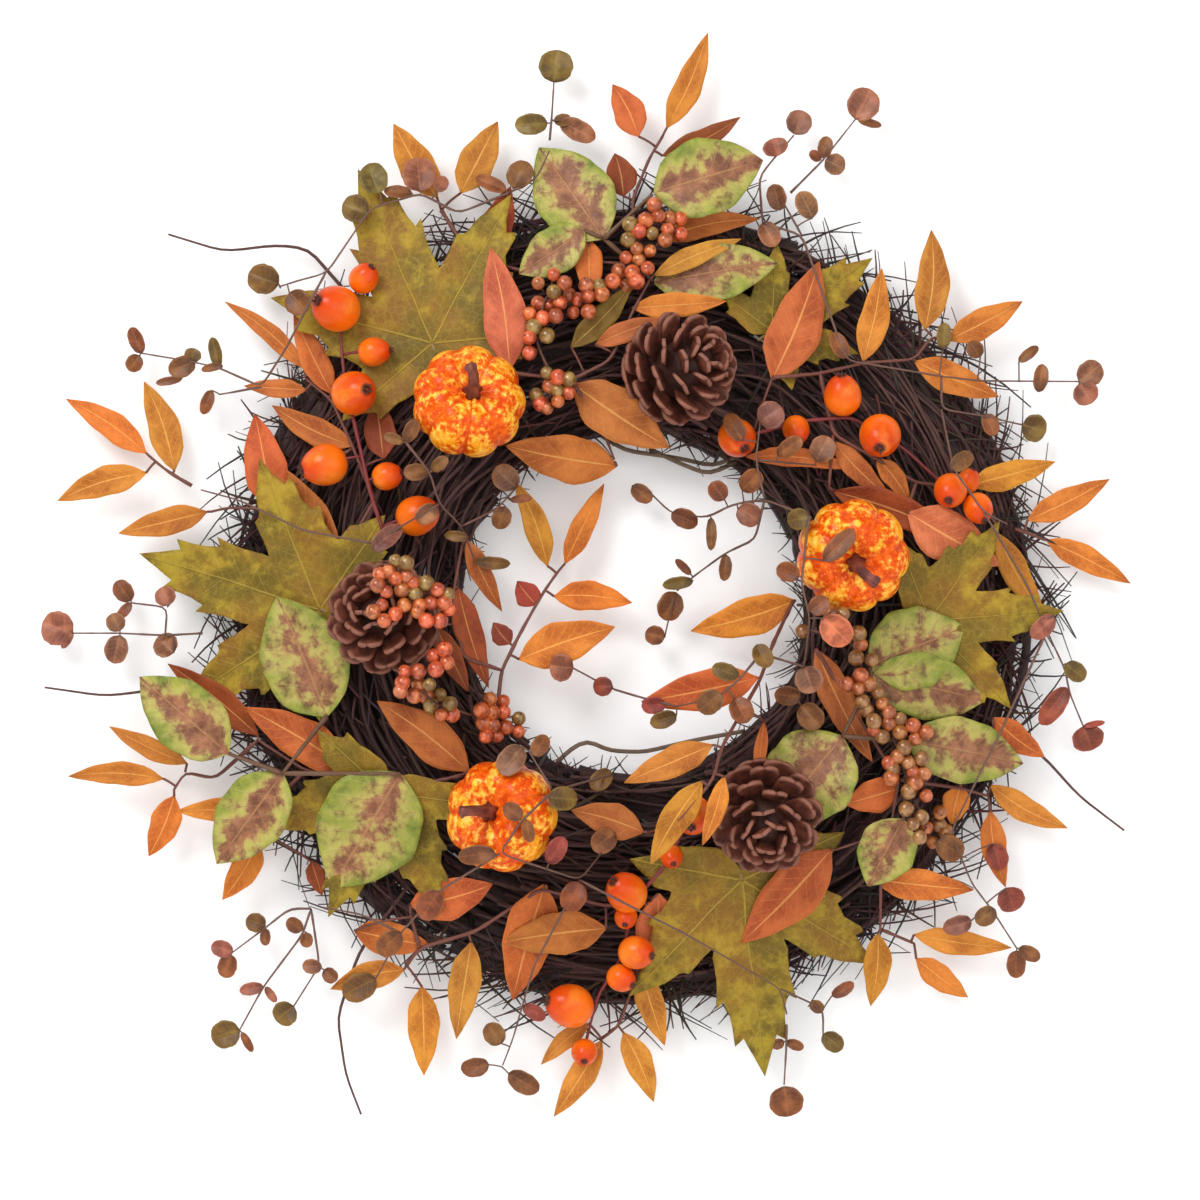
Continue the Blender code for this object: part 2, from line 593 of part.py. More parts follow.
def settle_leaf(ground, leaf, shape):
    """Lowest resting plane of a leaf: height at its base, slope along it and slope across it."""
    part, along, across, cover, length = leaf_field(ground, leaf, shape, 1.2)
    need = ground.height[part][cover] + CLEARANCE + LEAF_THICKNESS / 2
    s = along[cover]
    t = across[cover]
    best = None
    for slope in np.arange(-0.40, 0.41, 0.08):
        for roll in (-0.24, -0.12, 0.0, 0.12, 0.24):
            base = float(np.max(need - slope * s - roll * t))
            cost = base + slope * length / 2 + 5 * slope * slope + 8 * roll * roll
            if best is None or cost < best[0]:
                best = (cost, base, float(slope), roll)
    return best[1:]


def mark_leaf(ground, leaf, shape, plane):
    """Raise the ground to the front of a placed leaf."""
    part, along, across, cover, _ = leaf_field(ground, leaf, shape, 1.2)
    top = plane[0] + plane[1] * along + plane[2] * across + LEAF_THICKNESS / 2
    ground.height[part] = np.where(cover, np.maximum(ground.height[part], top), ground.height[part])


def leaf_mesh(leaf, shape, plane, root=None):
    """Thin leaf with a raised middle; root is where its stalk starts: along and across from the base."""
    bx, bz, tx, tz, width = leaf
    length = math.hypot(tx - bx, tz - bz)
    ux, uz = (tx - bx) / length, (tz - bz) / length
    base, slope, roll = plane

    def at(s, t, lift):
        tilt = slope * s + roll * t if s >= 0 else 0
        return spot(bx + ux * s - uz * t, bz + uz * s + ux * t, base + tilt + lift)

    def across(s, half, rise):
        return [at(s, -half, -rise), at(s, 0, rise), at(s, half, -rise)]

    if root:
        s, t = root
        stalk = [at(s, t - ROOT_R, -ROOT_R), at(s, t, ROOT_R), at(s, t + ROOT_R, -ROOT_R)]
    else:
        stalk = across(-2, PETIOLE_R, PETIOLE_R)
    rings = [stalk]
    snapped = bool(root) and math.hypot(*root) < 0.01
    for station, share in shape[1 if snapped and shape[0][0] == 0 else 0:]:
        half = max(share * width / 2, PETIOLE_R)
        rings.append(across(station * length, half, LEAF_THICKNESS / 2 if station else PETIOLE_R))
    return loft(rings, tip=at(length, 0, 0))


def leaf_axes(leaf, point):
    """A point's distance along a leaf and across it, from the leaf's base."""
    bx, bz, tx, tz, _ = leaf
    length = math.hypot(tx - bx, tz - bz)
    ux, uz = (tx - bx) / length, (tz - bz) / length
    dx, dz = point[0] - bx, point[1] - bz
    return dx * ux + dz * uz, dz * ux - dx * uz


def nearest_on(runs, x, z):
    """Nearest point on the stems: distance, run, length along it, and the point."""
    best = None
    for r, run in enumerate(runs):
        walked = 0.0
        for (x0, z0), (x1, z1) in zip(run, run[1:]):
            length = math.hypot(x1 - x0, z1 - z0)
            t = min(max(((x - x0) * (x1 - x0) + (z - z0) * (z1 - z0)) / length ** 2, 0.0), 1.0)
            px, pz = x0 + (x1 - x0) * t, z0 + (z1 - z0) * t
            gap = math.hypot(x - px, z - pz)
            if best is None or gap < best[0] - 0.01:
                best = (gap, r, walked + length * t, (px, pz))
            walked += length
    return best


def walk(run, step=1.0):
    """Points along a run with the length walked to each."""
    points = []
    walked = 0.0
    for (x0, z0), (x1, z1) in zip(run, run[1:]):
        length = math.hypot(x1 - x0, z1 - z0)
        count = max(1, int(round(length / step)))
        for k in range(count):
            t = k / count
            points.append((walked + length * t, x0 + (x1 - x0) * t, z0 + (z1 - z0) * t, k == 0))
        walked += length
    points.append((walked, run[-1][0], run[-1][1], True))
    return points


def taut(run, floor, lift, pegs=(), start=None, end=None):
    """Height of a stretched wire over the ground along a run: it lies on high spots and spans hollows.

    pegs are (length along the run, lowest height) the wire has to reach.
    """
    points = walk(run)
    lows = []
    for s, x, z, _ in points:
        i = int(round(x + Ground.SPAN))
        j = int(round(z + Ground.SPAN))
        lows.append(float(floor[i, j]) + lift)
    for length, height in pegs:
        k = min(range(len(points)), key=lambda n: abs(points[n][0] - length))
        lows[k] = max(lows[k], height)
    if start is not None:
        lows[0] = max(lows[0], start)
    if end is not None:
        lows[-1] = max(lows[-1], end)
    hull = []
    for k, (s, *_rest) in enumerate(points):
        while len(hull) > 1:
            a, b = hull[-2], hull[-1]
            sa, sb = points[a][0], points[b][0]
            if (lows[b] - lows[a]) * (s - sa) <= (lows[k] - lows[a]) * (sb - sa) + 0.25:
                hull.pop()
            else:
                break
        hull.append(k)
    lengths = np.array([p[0] for p in points])
    return ease(lengths, np.interp(lengths, lengths[hull], np.array(lows)[hull]))


def ease(lengths, heights, slack=1.0):
    """Fewer bends for a stretched wire, and no part of it lower than it was."""
    keep = [0, len(lengths) - 1]
    while True:
        line = np.interp(lengths, lengths[keep], heights[keep])
        short = float(np.max(heights - line))
        if short <= slack:
            break
        keep = sorted(keep + [int(np.argmax(heights - line))])
    return list(lengths[keep]), list(heights[keep] + short)


def wire_points(run, lengths, heights):
    """Points in the part of a stretched wire: at the run's corners and where its height changes."""
    total = walk(run)[-1][0]
    stops = set(lengths)
    walked = 0.0
    for (x0, z0), (x1, z1) in zip(run, run[1:]):
        stops.add(walked)
        walked += math.hypot(x1 - x0, z1 - z0)
    stops.add(total)
    ordered = []
    for stop in sorted(stops):
        if not ordered or stop - ordered[-1] > 1.2:
            ordered.append(stop)
        elif stop == total or stop in (lengths[0], lengths[-1]):
            ordered[-1] = stop
    path = []
    for stop in ordered:
        x, z = point_at(run, stop)
        path.append((x, z, float(np.interp(stop, lengths, heights))))
    return path


def point_at(run, length):
    """Point of a run at a length along it."""
    walked = 0.0
    for (x0, z0), (x1, z1) in zip(run, run[1:]):
        step = math.hypot(x1 - x0, z1 - z0)
        if length <= walked + step + 1e-9:
            t = (length - walked) / step
            return x0 + (x1 - x0) * t, z0 + (z1 - z0) * t
        walked += step
    return run[-1]


def bar(path, radius, sides=4, turn=0.4, rooted=False):
    """Mesh of a stem through (x, z, height) points; a rooted one starts thin, inside the stem it leaves."""
    points = [spot(*p) for p in path]
    radii = [radius] * len(points)
    if rooted:
        first = points[1] - points[0]
        if first.length > 3 * MM:
            points.insert(1, points[0] + first.normalized() * 1.8 * MM)
            radii.append(radius)
        radii[0] = ROOT_R
    return tube(points, radii, sides, turn)


def wire(path, turn):
    """Mesh of a thin wire that starts and ends inside thicker things."""
    points = [spot(*p) for p in path]
    radii = [ROOT_R] + [WIRE_R] * (len(points) - 2) + [ROOT_R]
    return tube(points, radii, 3, turn)


def berry_on_wire(start, centre, radius, sides, bands, turn):
    """Ball at the end of a wire, in one piece; start and centre are (x, z, height)."""
    root = spot(*start)
    middle = spot(*centre)
    along = (middle - root).normalized()
    guide = Vector((0, 0, 1)) if abs(along.z) < 0.8 else Vector((1, 0, 0))
    normal = along.cross(guide).normalized()
    side = along.cross(normal)

    def ring(point, size):
        angles = [turn + math.tau * k / sides for k in range(sides)]
        return [point + (normal * math.cos(a) + side * math.sin(a)) * size * MM for a in angles]

    rings = []
    if (middle - root).length > radius * 0.9 * MM:
        rings.append(ring(root, ROOT_R))
    else:
        rings.append(ring(middle - along * radius * 0.95 * MM, ROOT_R))
    for k in range(1, bands):
        angle = math.pi * k / bands
        rings.append(ring(middle - along * radius * math.cos(angle) * MM, radius * math.sin(angle)))
    return loft(rings, tip=middle + along * radius * MM)


class Spray:
    """A wired stem with leaves, or with berries, laid on the ground in front of what is there."""

    def __init__(self, ground, runs, sides):
        self.ground = ground
        self.runs = runs
        self.stem_radius = STEM_R
        self.sides = sides
        self.meshes = []
        self.paths = []
        self.heights = []
        self.floor = ground.spread(WIRE_R + 1)
        self.turn = 0.2

    def lay_stems(self, pegs):
        """Stretch every run over the ground; later runs start at the height of the run they leave."""
        floor = self.ground.spread(self.stem_radius + 1)
        lift = CLEARANCE + self.stem_radius
        for r, run in enumerate(self.runs):
            start = None
            if r:
                _, other, length, _ = nearest_on(self.runs[:r], *run[0])
                start = float(np.interp(length, *self.heights[other]))
            lengths, heights = taut(run, floor, lift, pegs.get(r, ()), start)
            self.heights.append((lengths, heights))
            path = wire_points(run, lengths, heights)
            if start is not None and heights[0] > start + 0.8:
                path.insert(0, (run[0][0], run[0][1], start))
            self.turn += 0.37
            self.meshes.append(bar(path, self.stem_radius, self.sides, self.turn, rooted=r > 0))
            self.paths.append(path)

    def height_at(self, run, length):
        """Height of a laid stem."""
        return float(np.interp(length, *self.heights[run]))

    def wire_path(self, start, end):
        """Path of a thin wire between two fixed points (x, z, height), over whatever stands between."""
        run = [start[:2], end[:2]]
        if math.hypot(run[1][0] - run[0][0], run[1][1] - run[0][1]) < 1.5:
            return [start, end]
        lengths, heights = taut(run, self.floor, CLEARANCE + WIRE_R, (), start[2], end[2])
        path = wire_points(run, lengths, heights)
        if heights[0] > start[2] + 0.5:
            path.insert(0, start)
        else:
            path[0] = start
        if heights[-1] > end[2] + 0.5:
            path.append(end)
        else:
            path[-1] = end
        return path

    def add_wire(self, start, end):
        """Tie a leaf or a fruit to a stem with a thin wire."""
        path = self.wire_path(start, end)
        if (spot(*start) - spot(*end)).length < 0.4 * MM:
            return
        self.turn += 0.37
        self.meshes.append(wire(path, self.turn))
        self.paths.append(path)

    def finish(self):
        """Raise the ground to the laid stems."""
        for path in self.paths:
            self.ground.mark(path, self.stem_radius)


def lowest_stalk(floor, base, point):
    """Lowest level of a leaf's stalk that clears the dressing between its base and the stem."""
    low = 0.0
    for k in range(9):
        x = base[0] + (point[0] - base[0]) * k / 8
        z = base[1] + (point[1] - base[1]) * k / 8
        low = max(low, float(floor[int(round(x + Ground.SPAN)), int(round(z + Ground.SPAN))]))
    return low + CLEARANCE + PETIOLE_R


def leaf_spray(ground, runs, leaves, shape):
    """Meshes of stems with leaves; returns them with the height of the first stem's root."""
    spray = Spray(ground, runs, 3 if shape is COIN_SHAPE else 4)
    scratch = Ground()
    scratch.height = ground.height.copy()
    placed = []
    pegs = {}
    for leaf in leaves:
        gap, run, length, point = nearest_on(runs, leaf[0], leaf[1])
        if gap <= SNAP_REACH:
            leaf = (*point, *leaf[2:])
        plane = settle_leaf(scratch, leaf, shape)
        mark_leaf(scratch, leaf, shape, plane)
        if gap <= PETIOLE_REACH:
            low = lowest_stalk(spray.floor, leaf[:2], point)
            plane = (max(plane[0], low), plane[1], plane[2])
            pegs.setdefault(run, []).append((length, plane[0]))
        placed.append((leaf, plane, run, length, point))
    spray.lay_stems(pegs)
    for leaf, plane, run, length, point in placed:
        stem = spray.height_at(run, length)
        behind, beside = leaf_axes(leaf, point)
        near = math.hypot(behind, beside) <= PETIOLE_REACH
        if near:
            plane = (max(stem, plane[0]), plane[1], plane[2])
        snapped = math.hypot(behind, beside) < 0.01
        if snapped or near and behind < -1.0 and abs(beside) < -1.5 * behind:
            spray.meshes.append(leaf_mesh(leaf, shape, plane, (behind, beside)))
            spray.paths.append([(*point, plane[0]), (leaf[0], leaf[1], plane[0])])
        else:
            spray.meshes.append(leaf_mesh(leaf, shape, plane))
            spray.add_wire((*point, stem), (leaf[0], leaf[1], plane[0]))
        mark_leaf(ground, leaf, shape, plane)
    spray.finish()
    return spray


def fruit_spray(ground, runs, fruit):
    """Meshes of a stem with berries (x, z, radius), each wired to the stem."""
    spray = Spray(ground, runs, 3)
    placed = []
    for x, z, radius in fruit:
        part = ground.window(x - radius - 2, x + radius + 2, z - radius - 2, z + radius + 2)
        away = np.hypot(ground.x[part] - x, ground.z[part] - z)
        under = away <= radius + 1.0
        drop = np.sqrt(np.clip(radius ** 2 - np.clip(away[under] - 1.0, 0, None) ** 2, 0, None))
        height = float(np.max(ground.height[part][under] + drop)) + CLEARANCE
        placed.append((x, z, radius, height))
    pegs = {}
    spray.lay_stems(pegs)
    for x, z, radius, height in placed:
        _, run, length, point = nearest_on(runs, x, z)
        start = (*point, spray.height_at(run, length))
        path = spray.wire_path(start, (x, z, height))
        spray.turn += 0.37
        spray.paths.append(path)
        if len(path) > 2:
            spray.meshes.append(wire(path, spray.turn))
            start = path[-2]
        facets = (7, 5) if radius > 7.5 else (6, 4) if radius > BERRY_R else (5, 3)
        spray.meshes.append(berry_on_wire(start, (x, z, height), radius, *facets, spray.turn))
    for x, z, radius, height in placed:
        for k in range(int(radius) + 1):
            ring = radius - k
            rise = math.sqrt(max(radius ** 2 - max(ring - 1.0, 0) ** 2, 0))
            spray.ground.mark_spot(x, z, height + rise, ring + 0.8)
    spray.finish()
    return spray


def polar(radius, angle, height):
    """Point on the ring from its radius, angle and height."""
    return spot(radius * math.cos(angle), radius * math.sin(angle), height)


def bundle_section(inset, bump):
    """Cross-section of the twig ring: (radius, height) points with the hoop's channel in its back."""
    def crest(k):
        radius, height = CREST[k]
        return radius - inset * (radius > 129) + inset * (radius < 129), height - inset + bump()

    half = HOOP_WIRE_R + CHANNEL_FIT
    back = inset
    return [
        (RING_INNER_R + inset, back), (CREST[1][0] + inset, 9.0), (crest(2)), (crest(3)), (crest(4)),
        crest(5), (CREST[6][0] - inset, CREST[6][1] - inset * 0.4 + bump() * 0.3),
        (RING_OUTER_R - inset, back), (HOOP_R + half, back), (HOOP_R + half, CHANNEL_DEPTH),
        (HOOP_R - half, CHANNEL_DEPTH), (HOOP_R - half, back),
    ]


def build_bundle(number, material):
    """One length of the twig ring, thinner at both ends where the wire binds it."""
    rng = random.Random(40 + number)
    turn = math.tau / BUNDLE_COUNT
    start = turn * (number - 1)
    edge = BUNDLE_GAP / 2 / 128
    stations = [edge, edge + 0.014, edge + 0.042]
    stations += [turn * k / 6 for k in range(1, 6)]
    stations += [turn - edge - 0.042, turn - edge - 0.014, turn - edge]
    rings = []
    for k, station in enumerate(stations):
        neck = k < 2 or k > len(stations) - 3
        calm = neck or k in (2, len(stations) - 3) or (number == 2 and k == 5)
        bump = (lambda: 0.0) if calm else (lambda: rng.uniform(-2.2, 2.2))
        section = bundle_section(NECK_DEPTH if neck else 0.0, bump)
        rings.append([polar(r, start + station, h) for r, h in section])
    parts = [loft(rings)]
    for run in LOOSE_TWIGS.get(number, ()):
        path = []
        for k, (x, z) in enumerate(run):
            height = 9.0 + 1.5 * (k == 1)
            if k > 2:
                height = min(ring_crest(math.hypot(x, z)) - 3.0, 14.0)
            path.append(spot(x, z, height))
        thickness = [TWIG_R * (0.8 + 0.6 * k / (len(path) - 1)) for k in range(len(path))]
        parts.append(tube(path, thickness, 5))
    return fuse("twig_bundle_%d" % number, parts, material)


def build_hoop(material):
    """Wire hoop in the channel at the back of the twig ring."""
    turn = math.tau / BUNDLE_COUNT
    points = []
    for b in range(BUNDLE_COUNT):
        depth = CHANNEL_DEPTH - CHANNEL_FIT - HOOP_WIRE_R
        points += [polar(HOOP_R, turn * (b + k / 6), depth) for k in range(6)]
    return add_object("wire_hoop", closed_tube(points, HOOP_WIRE_R, 5), material, smooth=True)


def build_binding(number, material):
    """Loop of thin wire in the neck between two twig bundles."""
    angle = math.tau / BUNDLE_COUNT * (number - 1)
    inset = NECK_DEPTH - BINDING_FIT - BINDING_WIRE_R
    section = bundle_section(inset, lambda: 0.0)[:8]
    points = [polar(r, angle, h) for r, h in section]
    loop = closed_tube(points, BINDING_WIRE_R, sides=4)
    return add_object("binding_wire_%d" % number, loop, material, smooth=True)


def build_maple(ground, number, leaf, material):
    """Flat lobed leaf resting on the dressing behind it."""
    x, z, length, heading, side = leaf
    outline = []
    for angle, reach in MAPLE_HALF:
        reach = reach if angle < 30 else reach * side
        outline.append((angle, reach * length))
        if angle:
            outline.append((-angle, reach * length))
    outline.sort()
    angles = np.array([a for a, _ in outline], float)
    reaches = np.array([r for _, r in outline], float)
    part = ground.window(x - length - 4, x + length + 4, z - length - 4, z + length + 4)
    dx = ground.x[part] - x
    dz = ground.z[part] - z
    bearing = (np.degrees(np.arctan2(dz, dx)) - heading + 180) % 360 - 180
    cover = np.hypot(dx, dz) <= np.interp(bearing, angles, reaches) + 1.6
    need = ground.height[part][cover] + CLEARANCE + LEAF_THICKNESS / 2
    cx, cz = dx[cover], dz[cover]
    best = None
    for slope_x in np.arange(-0.24, 0.25, 0.06):
        for slope_z in np.arange(-0.24, 0.25, 0.06):
            base = float(np.max(need - slope_x * cx - slope_z * cz))
            cost = base + float(np.mean(slope_x * cx + slope_z * cz))
            if best is None or cost < best[0]:
                best = (cost, base, slope_x, slope_z)
    _, base, slope_x, slope_z = best
    top = base + slope_x * dx + slope_z * dz + LEAF_THICKNESS / 2
    ground.height[part] = np.where(cover, np.maximum(ground.height[part], top), ground.height[part])

    def at(px, pz, lift):
        return spot(x + px, z + pz, base + slope_x * px + slope_z * pz + lift)

    mesh = bmesh.new()
    back = []
    front = []
    for angle, reach in outline:
        bearing = math.radians(heading + angle)
        px, pz = reach * math.cos(bearing), reach * math.sin(bearing)
        back.append(mesh.verts.new(at(px, pz, -LEAF_THICKNESS / 2)))
        front.append(mesh.verts.new(at(px, pz, LEAF_THICKNESS / 2)))
    middle_back = mesh.verts.new(at(0, 0, -LEAF_THICKNESS / 2))
    middle_front = mesh.verts.new(at(0, 0, LEAF_THICKNESS / 2))
    count = len(outline)
    for k in range(count):
        j = (k + 1) % count
        mesh.faces.new((back[k], back[j], front[j], front[k]))
        if j:
            mesh.faces.new((middle_front, front[k], front[j]))
            mesh.faces.new((middle_back, back[j], back[k]))
    mesh.faces.new((middle_front, front[-1], front[0]))
    mesh.faces.new((middle_back, back[0], back[-1]))
    bmesh.ops.recalc_face_normals(mesh, faces=mesh.faces[:])
    data = bpy.data.meshes.new("maple")
    mesh.to_mesh(data)
    mesh.free()
    return add_object("maple_leaf_%d" % number, data, material)


def settle_round(ground, x, z, radius, depth):
    """Height of the middle of a rounded body so that it rests on the ground."""
    part = ground.window(x - radius - 2, x + radius + 2, z - radius - 2, z + radius + 2)
    away = np.hypot(ground.x[part] - x, ground.z[part] - z)
    under = away <= radius + 1.0
    share = np.clip((away[under] - 1.0) / radius, 0, 1)
    return float(np.max(ground.height[part][under] + depth * np.sqrt(1 - share ** 2))) + CLEARANCE


def mark_round(ground, x, z, height, radius, depth):
    """Raise the ground to the front of a rounded body."""
    part = ground.window(x - radius - 3, x + radius + 3, z - radius - 3, z + radius + 3)
    away = np.hypot(ground.x[part] - x, ground.z[part] - z)
    share = np.clip((away - 1.5) / radius, 0, 1)
    top = np.where(away <= radius + 1.5, height + depth * np.sqrt(1 - share ** 2), 0)
    ground.height[part] = np.maximum(ground.height[part], top)


def frame_of(lean_x, lean_z):
    """Directions of a body whose axis faces forward and leans across the face."""
    axis = Vector((lean_x, -1.0, lean_z)).normalized()
    right = axis.cross(Vector((0, 0, 1))).normalized()
    return axis, right, axis.cross(right)


def build_pumpkin(ground, number, pumpkin, material, stem_material):
    """Ribbed pumpkin and its curved stalk."""
    (x, z), (lean_x, lean_z), (stem_x, stem_z) = pumpkin
    depth = PUMPKIN_HALF_DEPTH + 3.0
    height = settle_round(ground, x, z, PUMPKIN_R, depth)
    centre = spot(x, z, height)
    axis, right, up = frame_of(lean_x, lean_z)
    sides = PUMPKIN_LOBES * 2
    rings = []
    for k in range(1, 7):
        polar_angle = math.pi * k / 7
        rise = math.cos(polar_angle)
        ring = []
        for i in range(sides):
            groove = 1.0 if i % 2 == 0 else 0.93
            reach = PUMPKIN_R * math.sin(polar_angle) ** 0.8 * groove
            angle = math.tau * i / sides
            out = right * math.cos(angle) + up * math.sin(angle)
            ring.append(centre + (axis * rise * PUMPKIN_HALF_DEPTH + out * reach) * MM)
        rings.append(ring)
    dimple = PUMPKIN_HALF_DEPTH * 0.80
    body = loft(rings, tail=centre + axis * dimple * MM, tip=centre - axis * dimple * MM)
    add_object("pumpkin_%d" % number, body, material, smooth=True)
    foot = centre + axis * (PUMPKIN_HALF_DEPTH + 0.5) * MM
    bend = (axis * 0.75 + Vector((stem_x, 0, stem_z)).normalized()).normalized()
    stalk = [foot]
    last = (bend + Vector((stem_x, 0, stem_z))).normalized()
    for share, direction in ((0.3, axis), (0.4, bend), (0.3, last)):
        stalk.append(stalk[-1] + direction * PUMPKIN_STEM_LENGTH * share * MM)
    taper = [PUMPKIN_STEM_R * share for share in (1.0, 0.72, 0.58, 0.66)]
    add_object("pumpkin_stem_%d" % number, tube(stalk, taper, 6), stem_material, smooth=True)
    mark_round(ground, x, z, height, PUMPKIN_R, depth)
    tip = stalk[-1]
    for point in stalk:
        top = -point.y / MM + PUMPKIN_STEM_R
        ground.mark_spot(point.x / MM, point.z / MM + RING_INNER_R, top, PUMPKIN_STEM_R + 1.5)
    return tip


def build_cone(ground, number, cone, material):
    """Pine cone: rings of scale tips, every other ring turned by half a scale."""
    (x, z), length, radius, (lean_x, lean_z) = cone
    depth = length / 2 * 0.9
    height = settle_round(ground, x, z, radius + 2, depth)
    centre = spot(x, z, height)
    axis, right, up = frame_of(lean_x * 1.6, lean_z * 1.6)
    rings = []
    for k in range(CONE_RINGS):
        share = (k + 0.5) / CONE_RINGS
        reach = radius * math.sin(math.pi * (0.12 + 0.80 * share)) ** 0.7
        rise = length / 2 * (2 * share - 1) * 0.86
        ring = []
        for i in range(14):
            scale = 1.0 if (i + k) % 2 == 0 else 0.84
            angle = math.tau * i / 14
            out = right * math.cos(angle) + up * math.sin(angle)
            ring.append(centre + (axis * rise + out * reach * scale) * MM)
        rings.append(ring)
    end = length / 2 * 0.9
    body = loft(rings, tail=centre - axis * end * MM, tip=centre + axis * end * MM)
    add_object("pinecone_%d" % number, body, material)
    mark_round(ground, x, z, height, radius + 2, depth + 1.5)


def add_knuckle(spray):
    """Ball at the root of a spray that bends by hand."""
    x, z, height = spray.paths[0][0]
    spray.meshes.append(ball(spot(x, z, height), KNUCKLE_R))


def lay_leaves(ground, name, leaves, shape, material, bends=False):
    """Build one spray of leaves as a node."""
    spray = leaf_spray(ground, STEMS[name], leaves, shape)
    if bends:
        add_knuckle(spray)
    fuse(name, spray.meshes, material)


def lay_fruit(ground, name, fruit, material):
    """Build one spray of berries as a node."""
    spray = fruit_spray(ground, STEMS[name], fruit)
    fuse(name, spray.meshes, material, smooth=True)


def magnolia_runs(leaves):
    """Stem of a magnolia pick: from leaf base to leaf base."""
    bases = [(leaf[0], leaf[1]) for leaf in leaves]
    return [bases]


def build_wreath():
    """Build every piece, back to front."""
    twig = paint("twig", (0.055, 0.028, 0.030), 0.6)
    wire = paint("wire", (0.10, 0.09, 0.08), 0.45, 0.8)
    laurel = paint("laurel", (0.62, 0.20, 0.05), 0.6)
    gold = paint("gold_laurel", (0.72, 0.32, 0.06), 0.6)
    magnolia = paint("magnolia", (0.30, 0.26, 0.07), 0.5)
    maple = paint("maple", (0.29, 0.20, 0.03), 0.6)
    coin = paint("coin", (0.30, 0.16, 0.07), 0.5)
    pumpkin = paint("pumpkin", (0.85, 0.20, 0.01), 0.35)
    stalk = paint("stalk", (0.19, 0.05, 0.03), 0.6)
    cone = paint("cone", (0.16, 0.06, 0.04), 0.7)
    hip = paint("hip", (0.80, 0.11, 0.01), 0.25)
    berry = paint("berry", (0.55, 0.14, 0.06), 0.25)
    ground = Ground()
    lay_ring(ground)
    build_hoop(wire)
    for number in range(1, BUNDLE_COUNT + 1):
        build_bundle(number, twig)
        build_binding(number, wire)
    lay_loose_twigs(ground)
    lay_leaves(ground, "laurel_spray_left", LAUREL_LEFT, LAUREL_SHAPE, laurel)
    lay_leaves(ground, "laurel_spray_top", LAUREL_TOP, LAUREL_SHAPE, laurel)
    for number, leaf in enumerate(MAPLES[:2] + MAPLES[5:], 1):
        build_maple(ground, number, leaf, maple)
    lay_leaves(ground, "laurel_spray_right", LAUREL_RIGHT, LAUREL_SHAPE, laurel)
    lay_leaves(ground, "laurel_spray_lower_left", LAUREL_LOWER_LEFT, LAUREL_SHAPE, laurel)
    lay_leaves(ground, "laurel_spray_bottom", LAUREL_BOTTOM, LAUREL_SHAPE, laurel)
    for number, leaf in enumerate(MAPLES[2:5], 4):
        build_maple(ground, number, leaf, maple)
    lay_leaves(ground, "laurel_spray_lower_right", LAUREL_LOWER_RIGHT, LAUREL_SHAPE, laurel)
    for place, leaves in (("top", MAGNOLIA_TOP), ("left", MAGNOLIA_LEFT), ("right", MAGNOLIA_RIGHT)):
        name = "magnolia_spray_" + place
        STEMS[name] = magnolia_runs(leaves)
        lay_leaves(ground, name, leaves, MAGNOLIA_SHAPE, magnolia)
    lay_leaves(ground, "laurel_spray_inner_top", LAUREL_INNER_TOP, LAUREL_SHAPE, laurel)
    lay_leaves(ground, "laurel_spray_hanging", LAUREL_HANGING, LAUREL_SHAPE, gold)
    for number in range(3):
        build_pumpkin(ground, number + 1, PUMPKINS[number], pumpkin, stalk)
        build_cone(ground, number + 1, CONES[number], cone)
    lay_fruit(ground, "hip_spray_left", HIPS_LEFT, hip)
    lay_fruit(ground, "hip_spray_right", HIPS_RIGHT, hip)
    lay_fruit(ground, "hip_spray_bottom", HIPS_BOTTOM, hip)
    lay_leaves(ground, "laurel_spray_inner_low", LAUREL_INNER_LOW, LAUREL_SHAPE, laurel)
    for place, spots in (("top", BERRIES_TOP), ("left", BERRIES_LEFT), ("right", BERRIES_RIGHT)):
        lay_fruit(ground, "berry_spray_" + place, [(x, z, BERRY_R) for x, z in spots], berry)
    lay_leaves(ground, "gold_spray_left", GOLD_LEFT, LAUREL_SHAPE, gold, bends=True)
    lay_leaves(ground, "gold_spray_right", GOLD_RIGHT, LAUREL_SHAPE, gold, bends=True)
    lay_leaves(ground, "coin_spray_top", COIN_TOP, COIN_SHAPE, coin, bends=True)
    lay_leaves(ground, "coin_spray_top_right", COIN_TOP_RIGHT, COIN_SHAPE, coin, bends=True)
    lay_leaves(ground, "coin_spray_bottom", COIN_BOTTOM, COIN_SHAPE, coin, bends=True)
    lay_leaves(ground, "coin_spray_left", COIN_LEFT, COIN_SHAPE, coin, bends=True)
    lay_leaves(ground, "coin_spray_lower_left", COIN_LOW_LEFT, COIN_SHAPE, coin, bends=True)
    lay_leaves(ground, "coin_spray_upper_left", COIN_UPPER_LEFT, COIN_SHAPE, coin)
    lay_leaves(ground, "coin_spray_inner_left", COIN_INNER_LEFT, COIN_SHAPE, coin)
    lay_leaves(ground, "coin_spray_low", COIN_LOW, COIN_SHAPE, coin)
    lay_leaves(ground, "coin_spray_right", COIN_RIGHT, COIN_SHAPE, coin)
    lay_leaves(ground, "coin_spray_inner_right", COIN_INNER_RIGHT, COIN_SHAPE, coin)


def lay_loose_twigs(ground):
    """Let the dressing rest on the loose twigs too."""
    for runs in LOOSE_TWIGS.values():
        for run in runs:
            ground.mark([(x, z, 10.5) for x, z in run], TWIG_R * 1.4)


clear_scene()
build_wreath()
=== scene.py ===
"""Harvest door wreath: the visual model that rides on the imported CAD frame, laid out as an add-on.

Places are in millimetres from the middle of the ring, seen from the front: x to the right, z up. How far a
thing stands in front of the door plane is read from the CAD node that it stands for.
"""
import json
import math
import random

